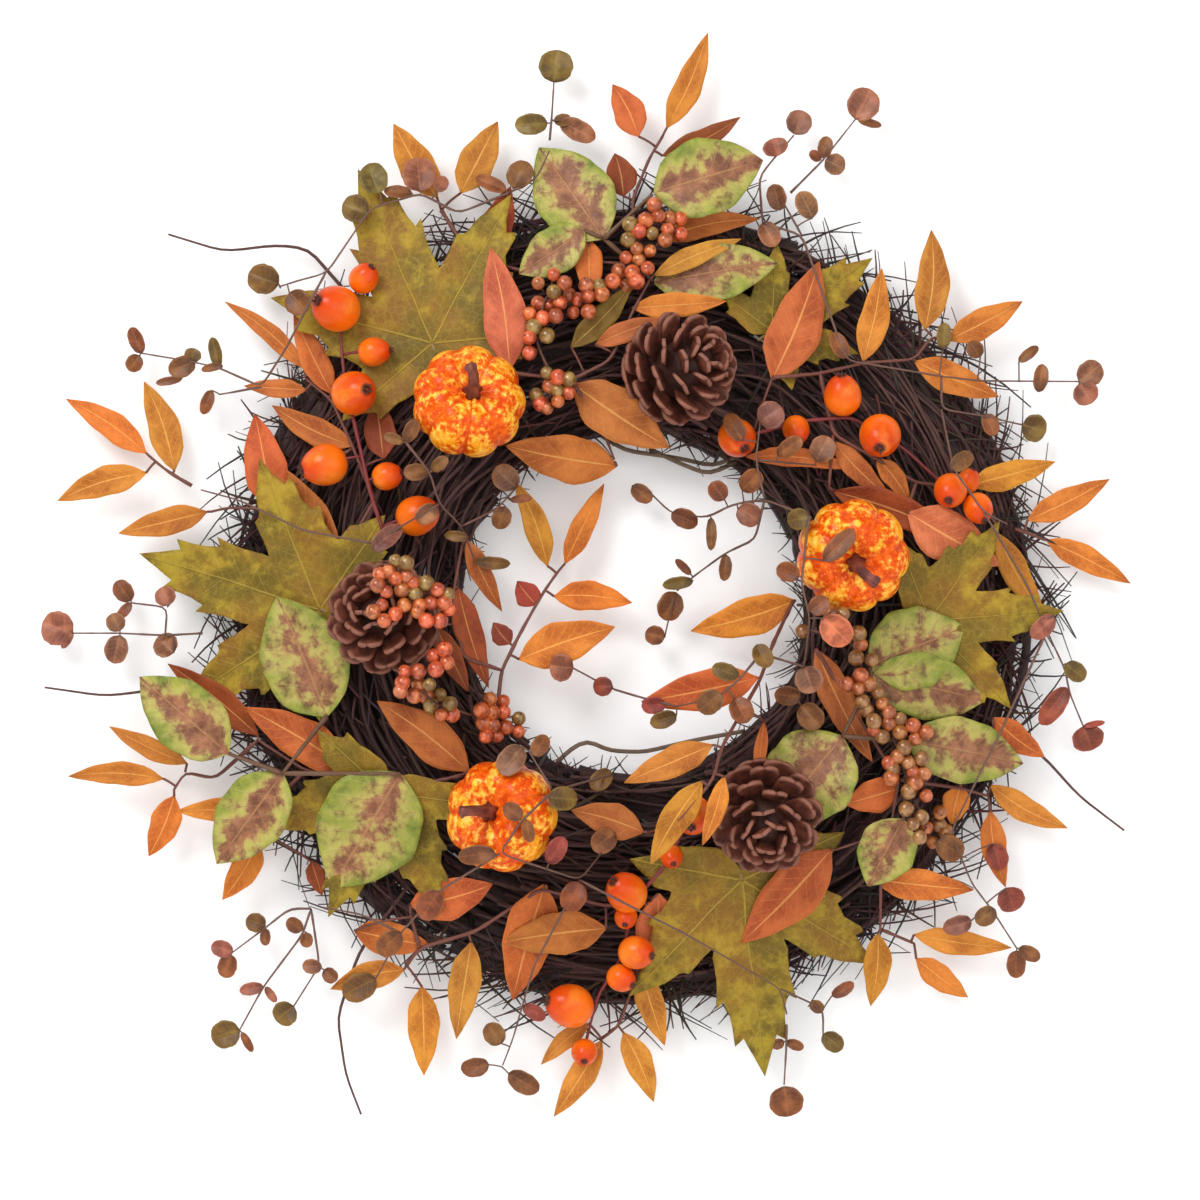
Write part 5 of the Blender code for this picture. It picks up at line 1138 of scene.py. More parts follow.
def build_sprays(lists, blade, paint, shape, stem_radius, stem_tint, slot_of):
    """One piece for each spray of leaves: its leaves and its stems."""
    stems = PAINTS["stem"]
    for name, leaves in lists.items():
        rng = random.Random(name)
        relief = Relief(name)
        heap = Heap()
        add_stems(heap, relief, name, stem_radius, stem_tint, rng)
        for leaf in leaves:
            key = leaf[5]
            tone = rng.random() if isinstance(key, str) else key
            tint = TINTS[key] if isinstance(key, str) else PLAIN
            tint = tuple(c * rng.uniform(0.85, 1.15) for c in tint)
            height = add_leaf(heap, relief, blade, leaf, tint, tone, shape, rng)
            add_stalk(heap, relief, name, leaf[0], leaf[1], height, stem_radius * 0.62, stem_tint, tone)
        heap.build(name + "_look", body_of(name), [name], [paint, stems], slot_of(name))


def laurel_slot(name):
    """Slot name of a spray: gold_laurel for the golden sprays and the hanging one, laurel for the rest."""
    return "gold_laurel" if name.startswith("gold") or name.endswith("hanging") else "laurel"


def build_laurel(settings):
    """Willow and laurel sprays."""
    outline = (
        (0.0, 0.06), (0.04, 0.22), (0.10, 0.50), (0.20, 0.82), (0.31, 0.98), (0.42, 1.0), (0.55, 0.92),
        (0.68, 0.76), (0.80, 0.54), (0.90, 0.30), (0.96, 0.13), (1.0, 0.02),
    )
    blade = Blade(20, 8, outline, 0.02)
    shape = dict(cup=0.14, wave=0.07, sway=0.05, bow=0.14, twist=0.5, thickness=settings.leaf_thickness)
    build_sprays(LAUREL, blade, PAINTS["laurel"], shape, 1.0, (0.19, 0.055, 0.035), laurel_slot)


def build_magnolia(settings):
    """Broad magnolia leaves."""
    outline = (
        (0.0, 0.05), (0.05, 0.34), (0.12, 0.64), (0.22, 0.86), (0.36, 0.99), (0.50, 1.0), (0.64, 0.90),
        (0.78, 0.66), (0.89, 0.38), (0.96, 0.15), (1.0, 0.01),
    )
    blade = Blade(30, 14, outline, 0.015)
    shape = dict(cup=0.12, wave=0.05, sway=0.03, bow=0.16, twist=0.3, thickness=settings.leaf_thickness)
    build_sprays(MAGNOLIA, blade, PAINTS["magnolia"], shape, 1.3, (0.16, 0.07, 0.03), lambda _: "magnolia")


def build_coins(settings):
    """Round leaves on thin stems."""
    outline = [(k / 24, max(0.06, math.sin(math.acos(1 - k / 12)) ** 0.9)) for k in range(25)]
    blade = Blade(12, 8, outline, 0.01)
    shape = dict(cup=0.34, wave=0.05, sway=0.02, bow=0.30, twist=0.6, thickness=settings.leaf_thickness)
    build_sprays(COIN, blade, PAINTS["coin"], shape, 0.6, (0.17, 0.080, 0.055), lambda _: "coin")


MAPLE_EDGE = (
    (0, 1.0), (2.5, 0.90), (6, 0.80), (9, 0.84), (11, 0.70), (15, 0.62), (18, 0.66), (20, 0.53),
    (25, 0.44), (29, 0.40), (33, 0.48), (36, 0.60), (40, 0.61), (43, 0.71), (47, 0.79), (51, 0.90),
    (54, 0.77), (57, 0.71), (61, 0.75), (63, 0.61), (69, 0.55), (73, 0.58), (76, 0.47), (83, 0.41),
    (88, 0.39), (93, 0.49), (98, 0.51), (103, 0.57), (108, 0.63), (112, 0.53), (118, 0.47), (123, 0.49),
    (127, 0.37), (140, 0.27), (155, 0.20), (168, 0.10), (180, 0.05),
)


def build_maples(settings):
    """Lobed leaves, folded a little along each vein."""
    rings, sectors = 11, 240
    for name, (mx, mz, length, heading, side) in MAPLE.items():
        rng = random.Random(name)
        relief = Relief(name)
        grid = range(-40, 41, 5)
        heights = [(x, z, relief.front(mx + x, mz + z)) for x in grid for z in grid]
        rows = np.array([row for row in heights if row[2] is not None])
        lhs = np.column_stack([np.ones(len(rows)), rows[:, 0], rows[:, 1]])
        base, slope_x, slope_z = np.linalg.lstsq(lhs, rows[:, 2], rcond=None)[0]
        heap = Heap()
        top = []
        uv = []
        phases = [rng.uniform(0, 6) for _ in range(3)]
        for k in range(rings + 1):
            for i in range(sectors):
                angle = 360 * i / sectors - 180
                limit = float(np.interp(abs(angle), *zip(*MAPLE_EDGE)))
                limit *= 1.0 if abs(angle) < 28 else side
                reach = length * limit * (k / rings) ** 0.9
                bearing = math.radians(heading + angle)
                px, pz = reach * math.cos(bearing), reach * math.sin(bearing)
                near = min(abs(angle - lobe) for lobe in (0, 51, -51, 108, -108))
                fold = 0.050 * reach * min(near / 22, 1.0)
                curl = 1.6 * (reach / length) ** 2 * math.sin(angle * 0.05 + phases[0])
                top.append((px, pz, base + slope_x * px + slope_z * pz + fold * 0.6 + curl - 0.4))
                local = math.radians(angle)
                share = 0.5 * reach / length
                uv.append((0.5 + share * math.cos(local), 0.5 + share * math.sin(local)))
                if k == 0:
                    break
        count = len(top)
        rim = 1 + (rings - 1) * sectors
        faces = []
        wall = []
        for i in range(sectors):
            j = (i + 1) % sectors
            faces.append((0, 1 + i, 1 + j))
            for k in range(1, rings):
                a = 1 + (k - 1) * sectors
                b = 1 + k * sectors
                faces.append((a + i, b + i, b + j, a + j))
            wall.append((rim + j, rim + i, count + rim + i, count + rim + j))
        back = [tuple(count + v for v in reversed(face)) for face in faces]
        half = settings.leaf_thickness / 2
        points = [tuple(spot(mx + px, mz + pz, h + lift)) for lift in (half, -half) for px, pz, h in top]
        heap.add(points, faces + back + wall, uv + uv, PLAIN, rng.random())
        bearing = math.radians(heading)
        end = spot(mx - 8 * math.cos(bearing), mz - 8 * math.sin(bearing), base - 0.6)
        stem = tube([spot(mx, mz, base - 0.2), end], [1.0 * MM, 0.8 * MM], 6)
        heap.add(*stem, (0.35, 0.22, 0.06), 0.5, 1)
        heap.build(name + "_look", body_of(name), [name], [PAINTS["maple"], PAINTS["stem"]], "maple")


class Ball:
    """A sphere of radius one, modelled once and copied."""

    def __init__(self, segments, rings):
        begin()
        bpy.ops.mesh.primitive_uv_sphere_add(segments=segments, ring_count=rings, radius=1)
        thing = bpy.context.active_object
        self.co = np.array([v.co for v in thing.data.vertices])
        self.faces = [tuple(p.vertices) for p in thing.data.polygons]
        bpy.data.objects.remove(thing, do_unlink=True)


def turned(axis):
    """Rotation that takes +Z to an axis, as a 3x3 array."""
    return np.array(Vector(axis).to_track_quat("Z", "Y").to_matrix())


def outward(piece):
    """Turn every face of a closed piece outwards."""
    work = bmesh.new()
    work.from_mesh(piece.data)
    bmesh.ops.recalc_face_normals(work, faces=work.faces[:])
    work.to_mesh(piece.data)
    work.free()


def build_hips():
    """Rose hips: egg-shaped fruit with a dark crown at the free end."""
    ball = Ball(24, 14)
    for name, fruit in HIPS.items():
        rng = random.Random(name)
        relief = Relief(name)
        heap = Heap()
        add_stems(heap, relief, name, 1.0, HIP_STEM, rng)
        for x, z, radius in fruit:
            centre = relief.height(x, z) - radius
            gap, px, pz = nearest_on(STEMS[name], x, z)
            away = Vector((x - px, -0.5 * radius, z - pz))
            if gap < 2:
                away = Vector((rng.uniform(-0.5, 0.5), -1.0, -0.6))
            away.normalize()
            turn = turned(away)
            co = ball.co.copy()
            rise = co[:, 2].copy()
            co[:, :2] *= (1 - 0.10 * rise)[:, None] * 0.96
            co[:, 2] *= 1.10
            points = co @ turn.T * radius * MM + np.array(spot(x, z, centre))
            uv = np.column_stack([(rise + 1) / 2, np.full(len(co), 0.5)])
            heap.add(points, ball.faces, uv, PLAIN, rng.random())
            for k in range(6):
                angle = math.tau * k / 6 + rng.random()
                foot = Vector((math.cos(angle) * 0.10, math.sin(angle) * 0.10, 1.02))
                tip = Vector((math.cos(angle) * 0.26, math.sin(angle) * 0.26, 1.02 + rng.uniform(0.10, 0.24)))
                ends = [Vector(turn @ np.array(p) * radius * MM) + spot(x, z, centre) for p in (foot, tip)]
                point = tube(ends, [0.09 * radius * MM, 0.02 * radius * MM], 5)
                heap.add(*point, (0.07, 0.02, 0.012), 0.5, 1)
            add_stalk(heap, relief, name, x, z, centre, 0.7, HIP_STEM, 0.5)
        heap.build(name + "_look", body_of(name), [name], [PAINTS["hip"], PAINTS["stem"]], "hip")


def build_berries(settings):
    """Clusters of small berries, with a painted pearly sheen, on fine stalks."""
    ball = Ball(14, 9)
    for name, places in BERRIES.items():
        rng = random.Random(name)
        relief = Relief(name)
        heap = Heap()
        add_stems(heap, relief, name, 0.8, (0.14, 0.05, 0.03), rng)
        for x, z in places:
            radius = settings.berry_radius * rng.uniform(0.86, 1.12)
            found = relief.front(x, z)
            front = relief.near(x, z) + 2.0 if found is None else found - 1.0
            centre = front - radius * 0.6 + rng.uniform(-1.2, 1.2)
            _, px, pz = nearest_on(STEMS[name], x, z)
            centre = max(centre, relief.stem(px, pz) + radius + rng.uniform(0, 1.2))
            golden = name.endswith("right")
            olive = rng.random() < (0.42 if golden else 0.14)
            copper = settings.berry_colour
            tint = (0.36, 0.22, 0.055) if olive else tuple(c * rng.uniform(0.8, 1.2) for c in copper)
            if golden:
                tint = (0.40, 0.20, 0.065) if olive else (tint[0] * 0.82, tint[1] * 1.05, tint[2])
            points = ball.co * radius * MM + np.array(spot(x, z, centre))
            heap.add(points, ball.faces, None, tint, rng.random())
            out = Vector((rng.uniform(-1, 1), rng.uniform(-0.7, 0.2), rng.uniform(-1, 1))).normalized()
            middle = spot(x, z, centre)
            ends = [middle + out * (radius * 0.95 * MM), middle + out * ((radius + 0.4) * MM)]
            heap.add(*tube(ends, [0.5 * MM, 0.25 * MM], 5), (0.09, 0.03, 0.02), 0.5, 1)
            add_stalk(heap, relief, name, x, z, centre, 0.4, (0.16, 0.06, 0.035), 0.5)
        heap.build(name + "_look", body_of(name), [name], [PAINTS["berry"], PAINTS["stem"]], "berry")


def build_pumpkins():
    """Ribbed pumpkins, each with a curved, ridged stalk."""
    ball = Ball(96, 40)
    for number in (1, 2, 3):
        name = "pumpkin_%d" % number
        stem = "pumpkin_stem_%d" % number
        low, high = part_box(name)
        middle = (low + high) / 2
        data = frame["nodes"][stem].data
        ring = np.array([v.co for v in data.vertices])
        away = np.linalg.norm(ring - np.array(middle), axis=1)
        foot = Vector(ring[np.argsort(away)[:6]].mean(0))
        tip = Vector(ring[np.argsort(away)[-6:]].mean(0))
        axis = (foot - middle).normalized()
        turn = turned(axis)
        co = ball.co.copy()
        rise = co[:, 2]
        angle = np.arctan2(co[:, 1], co[:, 0])
        flat = np.hypot(co[:, 0], co[:, 1])
        wobble = 0.10 * np.sin(angle * 2 + number)
        groove = np.abs(np.cos(angle * PUMPKIN_LOBES / 2 + wobble * 3)) ** 0.6
        shrink = 1 - 0.10 * (1 - groove) * np.clip(flat * 1.6, 0, 1)
        radius = flat ** 0.72 * shrink * PUMPKIN_RADIUS
        dimple = 5.5 * np.exp(-(flat / 0.30) ** 2)
        dome = np.abs(rise) ** 0.95 * PUMPKIN_HALF_HEIGHT * (0.94 + 0.06 * groove)
        height = np.sign(rise) * dome - dimple * np.sign(rise)
        local = np.column_stack([np.cos(angle) * radius, np.sin(angle) * radius, height]) * MM
        points = local @ turn.T + np.array(middle)
        heap = Heap()
        shape = np.column_stack([(rise + 1) / 2, flat])
        # tone carries the groove: low in the grooves, high on the lobe crowns; the skin paints shade and
        # highlight from it
        heap.add(points, ball.faces, shape, PLAIN, np.clip(groove, 0, 1))
        heap.build(name + "_look", body_of(name), [name], [PAINTS["pumpkin"]], "pumpkin")
        heap = Heap()
        start = middle + axis * 13.6 * MM
        path = []
        for k in range(13):
            t = k / 12
            ahead = start + axis * 15 * MM
            path.append(start * (1 - t) ** 2 + ahead * 2 * t * (1 - t) + tip * t * t)
        verts = []
        sides = 20
        for k in range(13):
            flare = 1.0 + 1.1 * math.exp(-k / 1.4) + (0.22 if k > 10 else 0)
            along = (path[min(k + 1, 12)] - path[max(k - 1, 0)]).normalized()
            side = along.cross(Vector((0.2, 0.1, 1))).normalized()
            up = along.cross(side)
            for i in range(sides):
                a = math.tau * i / sides
                size = 2.1 * flare * (1 + 0.20 * math.cos(a * 5)) * MM
                verts.append(tuple(path[k] + (side * math.cos(a) + up * math.sin(a)) * size))
        faces = []
        for k in range(12):
            for i in range(sides):
                a, b = k * sides + i, k * sides + (i + 1) % sides
                faces.append((a, b, b + sides, a + sides))
        faces += [tuple(reversed(range(sides))), tuple(range(12 * sides, 13 * sides))]
        heap.add(verts, faces)
        piece = heap.build(stem + "_look", body_of(stem), [stem], [PAINTS["stalk"]], "stalk")
        outward(piece)


def build_cones():
    """Pine cones: a spindle with scales in a spiral."""
    outline = ((0.0, 0.45), (0.4, 0.78), (0.72, 1.0), (0.88, 0.92), (0.96, 0.62), (1.0, 0.28))
    scale = Blade(8, 6, outline, 0.0)
    ball = Ball(20, 12)
    for name, (lean_x, lean_z) in CONE_LEANS.items():
        rng = random.Random(name)
        low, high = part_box(name)
        middle = (low + high) / 2
        axis = Vector((lean_x * 1.6, -1.0, lean_z * 1.6)).normalized()
        turn = turned(axis)
        heap = Heap()
        core = ball.co * np.array([13.0, 13.0, 19.0]) * MM
        heap.add(core @ turn.T + np.array(middle), ball.faces, np.zeros((len(core), 2)), PLAIN, 0.3)
        for k in range(CONE_SCALES):
            share = (k + 0.5) / CONE_SCALES
            angle = k * GOLDEN_ANGLE
            rise = -20 + 40 * share
            girth = 25.5 * math.sin(math.pi * (0.14 + 0.80 * share)) ** 0.75
            open_angle = math.radians(4 + 66 * share ** 1.5)
            out = Vector((math.cos(angle), math.sin(angle), 0))
            away = (out * math.cos(open_angle) + Vector((0, 0, 1)) * math.sin(open_angle)).normalized()
            cross = Vector((0, 0, 1)).cross(out).normalized()
            top = away.cross(cross).normalized() * -1
            length = girth * 0.74 + 3
            width = 18.0 * (1 - 0.45 * share)
            root = out * girth * 0.36 + Vector((0, 0, rise - 3))
            s, t = np.clip(scale.co[:, 0], 0, 1), scale.across
            curl = 2.2 * s ** 3 + 1.6 * (1 - t ** 2) * (s - 0.3)
            thick = (0.9 + 0.9 * s) * scale.side
            local = (
                np.array(root)[None, :]
                + np.outer(s * length, np.array(away))
                + np.outer(scale.co[:, 1] * width, np.array(cross))
                + np.outer(curl * -0.6 + thick * 0.5, np.array(top))
            ) * MM
            local *= min(1, CONE_REACH * MM / np.linalg.norm(local, axis=1).max())
            uv = np.column_stack([s, (t + 1) / 2])
            heap.add(local @ turn.T + np.array(middle), scale.faces, uv, PLAIN, rng.random())
        piece = heap.build(name + "_look", body_of(name), [name], [PAINTS["cone"]], "cone")
        outward(piece)


def arc(rng, first, radius, level, span, girth, tint, heap):
    """One vine that follows the ring for a while, waving a little."""
    start = first + rng.uniform(-7, 67 - span)
    drift = rng.uniform(-14, 14)
    phase = rng.uniform(0, 6)
    waves = rng.uniform(4.5, 7.5)
    points = []
    for i in range(15):
        t = i / 14
        angle = math.radians(start + span * t)
        r = radius + drift * (t - 0.5) + 2.6 * math.sin(phase + t * waves)
        r = min(max(r, 80.5), 183)
        h = min(level + 1.8 * math.sin(phase * 1.7 + t * 6), crest(r) - 0.6)
        points.append(spot(r * math.cos(angle), r * math.sin(angle), max(h, 1.7)))
    heap.add(*tube(points, [girth * MM * (1.0 - 0.35 * i / 14) for i in range(15)], 5), tint, rng.random())


def sprig(rng, radius, angle, reach, lean, height, girth, tint, heap):
    """One fine loose end that leaves the ring and bends over."""
    points = []
    turn = rng.uniform(-0.9, 0.9)
    for i in range(6):
        t = i / 5
        out = radius + reach * t
        side = lean * abs(reach) * t + turn * abs(reach) * t * t * 0.5
        bearing = angle + side / radius
        points.append(spot(out * math.cos(bearing), out * math.sin(bearing), height + 6 * t * (1 - t * 0.7)))
    heap.add(*tube(points, [girth * MM * (1 - 0.13 * i) for i in range(6)], 4), tint, rng.random())


def build_twigs(settings):
    """The ring: vines that follow it round, the deep ones tinted darker as painted shade, with fine loose
    ends sticking out at its rims.
    """
    base = tuple(settings.twig_colour)
    for number in range(1, 7):
        name = "twig_bundle_%d" % number
        rng = random.Random(name)
        heap = Heap()
        first = 60.0 * (number - 1)
        for k in range(settings.twig_count):
            radius = rng.uniform(*TWIG_RADII)
            top = crest(radius)
            under = k % 3 == 0
            if under:
                radius = UNDER_TWIGS[0] + UNDER_TWIGS[1] * k / settings.twig_count
            level = rng.uniform(2.8, 7) if under else rng.uniform(0.35, 0.97) * (top - 1.5)
            girth = rng.uniform(2.2, 3.0) if under else rng.uniform(0.6, 1.4)
            # painted shade: the thick under vines, deep in the ring, get a darker tint; the others get a
            # random tone
            painted_shade_and_tone = rng.uniform(0.35, 0.6) if under else rng.uniform(0.6, 1.6)
            arc(rng, first, radius, level, rng.uniform(34, 58), girth, tuple(c * painted_shade_and_tone for c in base), heap)
        # painted shade: a layer of thick vines at the back of the ring, tinted dark
        for k in range(BACK_TWIG_COUNT):
            painted_shade_and_tone = rng.uniform(0.3, 0.55)
            radius = BACK_TWIGS[0] + BACK_TWIGS[1] * k / (BACK_TWIG_COUNT - 1)
            tint = tuple(c * painted_shade_and_tone for c in base)
            arc(rng, first, radius, rng.uniform(3.2, 6), rng.uniform(50, 64), 3.1, tint, heap)
        for k in range(settings.twig_count * 3 // 2):
            angle = math.radians(first + rng.uniform(1, 59))
            tint = tuple(c * rng.uniform(0.3, 1.2) for c in base)
            lean = rng.choice((-1, 1)) * rng.uniform(0.1, 1.8)
            if k % 4:
                start = rng.uniform(160, 178)
                reach = rng.uniform(12, 30) if k % 9 else rng.uniform(26, 36)
                reach = min(reach, 206 - start)
                sprig(rng, start, angle, reach, lean, rng.uniform(3, 10), rng.uniform(0.45, 0.95), tint, heap)
            else:
                start = rng.uniform(84, 92)
                sprig(rng, start, angle, -rng.uniform(6, 17), lean, rng.uniform(5, 16), 0.55, tint, heap)
        for k in range(settings.twig_count // 2):
            angle = math.radians(first + rng.uniform(4, 56))
            radius = rng.uniform(95, 165)
            lean = rng.choice((-1, 1)) * rng.uniform(0.8, 2.5)
            tint = tuple(c * rng.uniform(0.7, 1.9) for c in base)
            height = crest(radius) - 4
            sprig(rng, radius, angle, rng.uniform(-14, 14), lean, height, rng.uniform(0.5, 0.9), tint, heap)
        relief = Relief(name)
        for run in LOOSE_TWIGS.get(number, ()):
            fine = smooth_run(run, 5)
            count = len(fine)
            heights = [relief.stem(x, z) if math.hypot(x, z) > 186 else 11 for x, z in fine]
            points = [spot(x, z, h) for (x, z), h in zip(fine, heights)]
            girth = [(0.55 + 0.5 * i / count) * MM for i in range(count)]
            heap.add(*tube(points, girth, 6), tuple(c * 1.5 for c in base), rng.random())
        for run in VINES.get(number, ()):
            fine = smooth_run(run, 4)
            points = [spot(x, z, 12 + 3 * math.sin(i * 0.4)) for i, (x, z) in enumerate(fine)]
            heap.add(*tube(points, [1.1 * MM] * len(points), 6), (0.24, 0.16, 0.10), rng.random())
        heap.build(name + "_look", body_of(name), [name], [PAINTS["twig"]], "twig")


def paint_wires():
    """The hoop and the binding wires keep their CAD shape."""
    for name in ["wire_hoop"] + ["binding_wire_%d" % k for k in range(1, 7)]:
        data = frame["nodes"][name].data
        data.materials.clear()
        data.materials.append(PAINTS["wire"])


# --- stage ------------------------------------------------------------------------------------------------


def aimed(thing, target):
    """Point a light or a camera at a place."""
    thing.rotation_mode = "QUATERNION"
    thing.rotation_quaternion = (Vector(target) - thing.location).to_track_quat("-Z", "Y")


def soft_light(name, place, size, power, target, colour=(1, 1, 1)):
    """A square soft light."""
    data = bpy.data.lights.new(name, "AREA")
    data.shape = "SQUARE"
    data.size = size
    data.energy = power
    data.color = colour
    lamp = bpy.data.objects.new(name, data)
    bpy.context.scene.collection.objects.link(lamp)
    lamp.location = place
    aimed(lamp, target)


def backdrop_paint():
    """White wall that can't be seen from behind."""
    sheet = Sheet("backdrop", roughness=0.9, specular=0.1)
    sheet.shader.inputs["Base Color"].default_value = (0.9, 0.9, 0.9, 1)
    sheet.shader.inputs["Emission Color"].default_value = (1, 1, 1, 1)
    sheet.shader.inputs["Emission Strength"].default_value = 0.12
    back = sheet.node("ShaderNodeNewGeometry", None, 6)
    clear = sheet.tree.nodes.new("ShaderNodeBsdfTransparent")
    mix = sheet.tree.nodes.new("ShaderNodeMixShader")
    sheet.tree.links.new(back.socket, mix.inputs[0])
    sheet.tree.links.new(sheet.shader.outputs[0], mix.inputs[1])
    sheet.tree.links.new(clear.outputs[0], mix.inputs[2])
    sheet.tree.links.new(mix.outputs[0], sheet.tree.nodes["Material Output"].inputs["Surface"])
    return sheet.material


def build_stage(settings):
    """Wall, floor, lights and camera."""
    low, high = START_BOUNDS
    begin()
    bpy.ops.mesh.primitive_plane_add(size=1)
    wall = bpy.context.active_object
    wall.name = "backdrop"
    wall.data.transform(wall.matrix_world)
    for vertex in wall.data.vertices:
        x, y, _ = vertex.co
        vertex.co = Vector((CENTRE_X + x * 3.0, high.y + 0.004, CENTRE_Z + y * 3.0))
    wall.data.materials.append(backdrop_paint())
    work = bmesh.new()
    work.from_mesh(wall.data)
    work.normal_update()
    if work.faces[:][0].normal.y > 0:
        bmesh.ops.reverse_faces(work, faces=work.faces[:])
    work.to_mesh(wall.data)
    work.free()
    floor_sheet = Sheet("floor", roughness=0.8, specular=0.2)
    floor_sheet.shader.inputs["Base Color"].default_value = (0.86, 0.86, 0.86, 1)
    begin()
    bpy.ops.mesh.primitive_plane_add(size=40, location=(0, 0, low.z - 0.35))
    floor = bpy.context.active_object
    floor.name = "floor"
    floor.data.materials.append(floor_sheet.material)
    centre = (CENTRE_X, 0, CENTRE_Z)
    soft_light("key", (-0.9, -1.5, 1.1), 0.9, settings.key_power, centre)
    soft_light("fill", (1.3, -1.6, 0.2), 1.6, settings.key_power * 0.42, centre)
    soft_light("front", (0.0, -2.4, 0.3), 1.8, settings.key_power * 0.5, centre)
    soft_light("behind", (0.4, 1.6, 0.9), 1.4, settings.key_power * 0.6, centre)
    world = bpy.data.worlds.new("studio")
    world.use_nodes = True
    background = world.node_tree.nodes["Background"]
    background.inputs[0].default_value = (1, 1, 1, 1)
    background.inputs[1].default_value = settings.sky
    bpy.context.scene.world = world
    camera = bpy.data.objects.new("camera", bpy.data.cameras.new("camera"))
    bpy.context.scene.collection.objects.link(camera)
    camera.data.lens = LENS
    camera.data.sensor_width = 36
    right, up = CAMERA_SHIFT
    camera.location = (CENTRE_X + right * MM, -settings.camera_distance, CENTRE_Z + up * MM)
    camera.rotation_euler = (math.radians(90), 0, 0)
    bpy.context.scene.camera = camera
    bpy.context.scene.view_settings.view_transform = "Standard"


# --- add-on -----------------------------------------------------------------------------------------------

PAINTS = {}


class WreathSettings(bpy.types.PropertyGroup):
    """Sizes and colours of the wreath and its stage."""

    leaf_thickness: FloatProperty(
        name="Leaf thickness", description="Thickness of every leaf, in millimetres",
        default=0.4, min=0.1, max=1.5,
    )
    berry_radius: FloatProperty(
        name="Berry radius", description="Radius of the small berries, in millimetres",
        default=3.5, min=1, max=5,
    )
    berry_colour: FloatVectorProperty(
        name="Berry colour", description="Colour of the copper berries",
        default=(0.68, 0.155, 0.045), subtype="COLOR",
    )
    twig_colour: FloatVectorProperty(
        name="Twig colour", description="Colour of the dark vines",
        default=(0.098, 0.040, 0.033), subtype="COLOR",
    )
    twig_count: IntProperty(
        name="Twigs", description="Vines in each sixth of the ring", default=150, min=10, max=300
    )
    key_power: FloatProperty(
        name="Key light", description="Power of the main light", default=25.0, min=0, subtype="POWER"
    )
    sky: FloatProperty(
        name="Sky", description="Strength of the even light from all round", default=0.50, min=0
    )
    camera_distance: FloatProperty(
        name="Camera distance", description="From the door plane to the camera",
        default=3.085, min=0.5, unit="LENGTH",
    )


def make_paints():
    """Make every material once."""
    PAINTS.update(
        laurel=laurel_paint(), magnolia=magnolia_paint(), maple=maple_paint(), coin=coin_paint(),
        stem=stem_paint(), twig=twig_paint(), hip=hip_paint(), berry=berry_paint(), pumpkin=pumpkin_paint(),
        stalk=stalk_paint(), cone=cone_paint(), wire=wire_paint(),
    )


class WREATH_OT_paints(bpy.types.Operator):
    """Make the materials."""

    bl_idname = "wreath.paints"
    bl_label = "Materials"

    def execute(self, context):
        """Make the materials."""
        make_paints()
        return {"FINISHED"}


class WREATH_OT_wires(bpy.types.Operator):
    """Finish the hoop and the binding wires."""

    bl_idname = "wreath.wires"
    bl_label = "Wires"

    def execute(self, context):
        """Finish the hoop and the binding wires."""
        paint_wires()
        return {"FINISHED"}


class WREATH_OT_twigs(bpy.types.Operator):
    """Build the twig ring."""

    bl_idname = "wreath.twigs"
    bl_label = "Twigs"

    def execute(self, context):
        """Build the twig ring."""
        build_twigs(context.scene.wreath)
        return {"FINISHED"}


class WREATH_OT_maples(bpy.types.Operator):
    """Build the maple leaves."""

    bl_idname = "wreath.maples"
    bl_label = "Maple leaves"

    def execute(self, context):
        """Build the maple leaves."""
        build_maples(context.scene.wreath)
        return {"FINISHED"}


class WREATH_OT_laurel(bpy.types.Operator):
    """Build the long leaves."""

    bl_idname = "wreath.laurel"
    bl_label = "Laurel sprays"

    def execute(self, context):
        """Build the long leaves."""
        build_laurel(context.scene.wreath)
        return {"FINISHED"}


class WREATH_OT_magnolia(bpy.types.Operator):
    """Build the broad leaves."""

    bl_idname = "wreath.magnolia"
    bl_label = "Magnolia sprays"

    def execute(self, context):
        """Build the broad leaves."""
        build_magnolia(context.scene.wreath)
        return {"FINISHED"}


class WREATH_OT_coins(bpy.types.Operator):
    """Build the small round leaves."""

    bl_idname = "wreath.coins"
    bl_label = "Round-leaf sprays"

    def execute(self, context):
        """Build the small round leaves."""
        build_coins(context.scene.wreath)
        return {"FINISHED"}


class WREATH_OT_pumpkins(bpy.types.Operator):
    """Build the pumpkins and their stalks."""

    bl_idname = "wreath.pumpkins"
    bl_label = "Pumpkins"

    def execute(self, context):
        """Build the pumpkins and their stalks."""
        build_pumpkins()
        return {"FINISHED"}


class WREATH_OT_cones(bpy.types.Operator):
    """Build the pine cones."""

    bl_idname = "wreath.cones"
    bl_label = "Pine cones"

    def execute(self, context):
        """Build the pine cones."""
        build_cones()
        return {"FINISHED"}


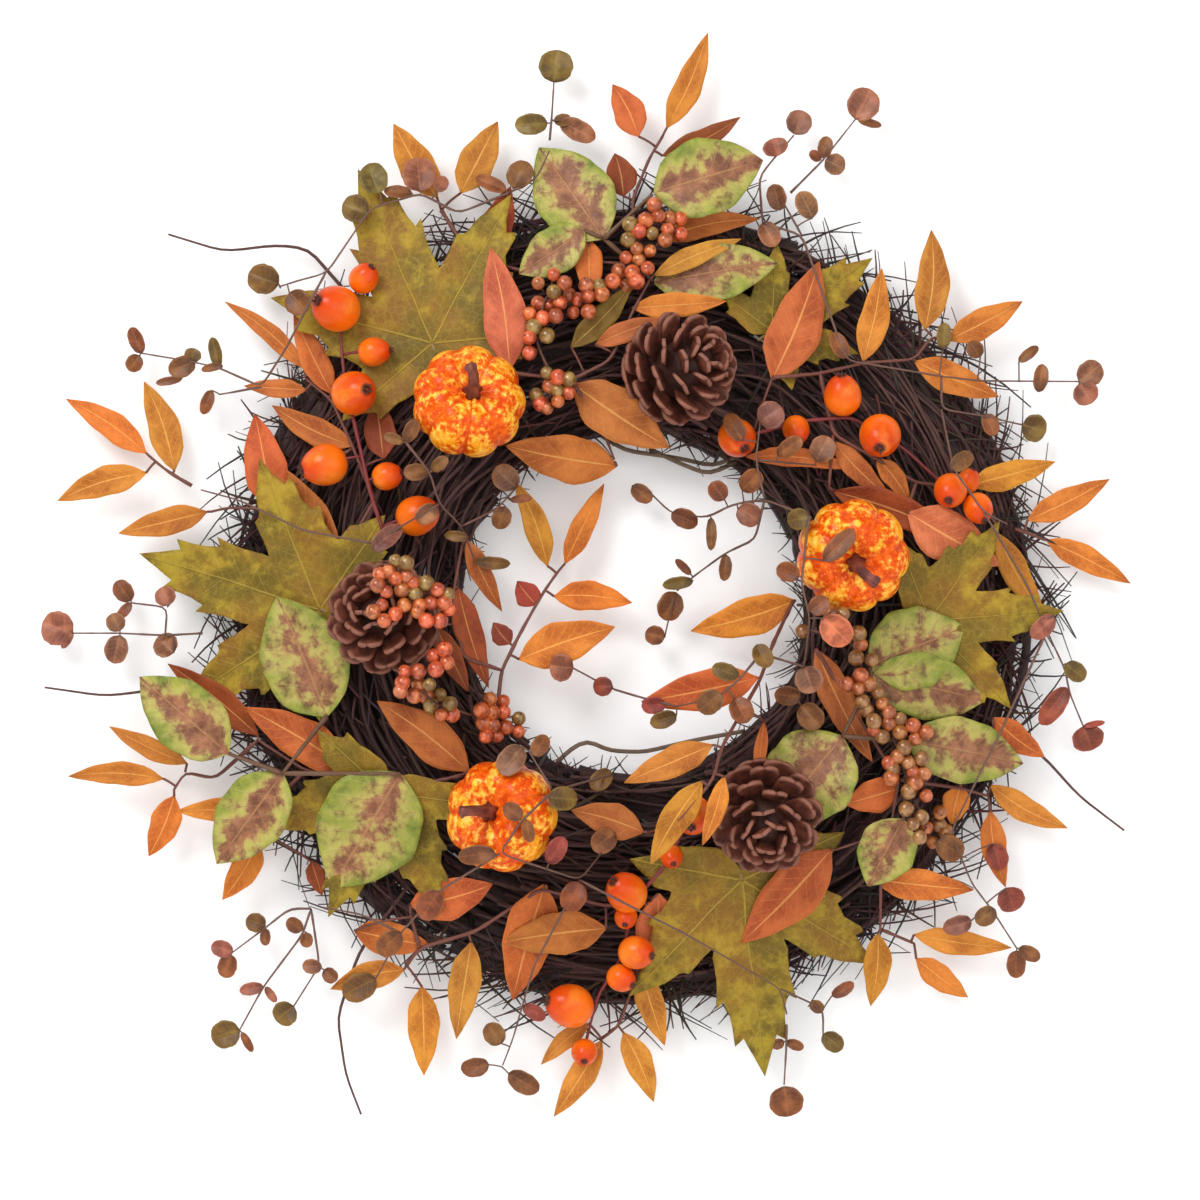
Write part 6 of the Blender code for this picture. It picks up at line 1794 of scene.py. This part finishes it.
class WREATH_OT_hips(bpy.types.Operator):
    """Build the rose hips."""

    bl_idname = "wreath.hips"
    bl_label = "Rose hips"

    def execute(self, context):
        """Build the rose hips."""
        build_hips()
        return {"FINISHED"}


class WREATH_OT_berries(bpy.types.Operator):
    """Build the small berries."""

    bl_idname = "wreath.berries"
    bl_label = "Berries"

    def execute(self, context):
        """Build the small berries."""
        build_berries(context.scene.wreath)
        return {"FINISHED"}


class WREATH_OT_stage(bpy.types.Operator):
    """Build the wall, the floor, the lights and the camera."""

    bl_idname = "wreath.stage"
    bl_label = "Stage"

    def execute(self, context):
        """Build the wall, the floor, the lights and the camera."""
        build_stage(context.scene.wreath)
        return {"FINISHED"}


STEPS = (
    WREATH_OT_paints,
    WREATH_OT_wires,
    WREATH_OT_twigs,
    WREATH_OT_maples,
    WREATH_OT_laurel,
    WREATH_OT_magnolia,
    WREATH_OT_coins,
    WREATH_OT_pumpkins,
    WREATH_OT_cones,
    WREATH_OT_hips,
    WREATH_OT_berries,
    WREATH_OT_stage,
)


class WREATH_PT_panel(bpy.types.Panel):
    """The wreath's settings and steps."""

    bl_label = "Harvest wreath"
    bl_space_type = "VIEW_3D"
    bl_region_type = "UI"
    bl_category = "Wreath"

    def draw(self, context):
        """Draw the panel."""
        for key in WreathSettings.__annotations__:
            self.layout.prop(context.scene.wreath, key)
        for step in STEPS:
            self.layout.operator(step.bl_idname)


CLASSES = (WreathSettings, *STEPS, WREATH_PT_panel)


def register():
    """Add the classes and the settings."""
    for item in CLASSES:
        bpy.utils.register_class(item)
    bpy.types.Scene.wreath = PointerProperty(type=WreathSettings)


def unregister():
    """Take them away again."""
    del bpy.types.Scene.wreath
    for item in reversed(CLASSES):
        bpy.utils.unregister_class(item)


def main():
    """Build everything in order."""
    register()
    for thing in list(bpy.data.objects):
        if thing.name in ("Cube", "Light", "Camera"):
            bpy.data.objects.remove(thing, do_unlink=True)
    for step in STEPS:
        getattr(bpy.ops.wreath, step.bl_idname.split(".")[1])()


if __name__ == "__main__":
    main()
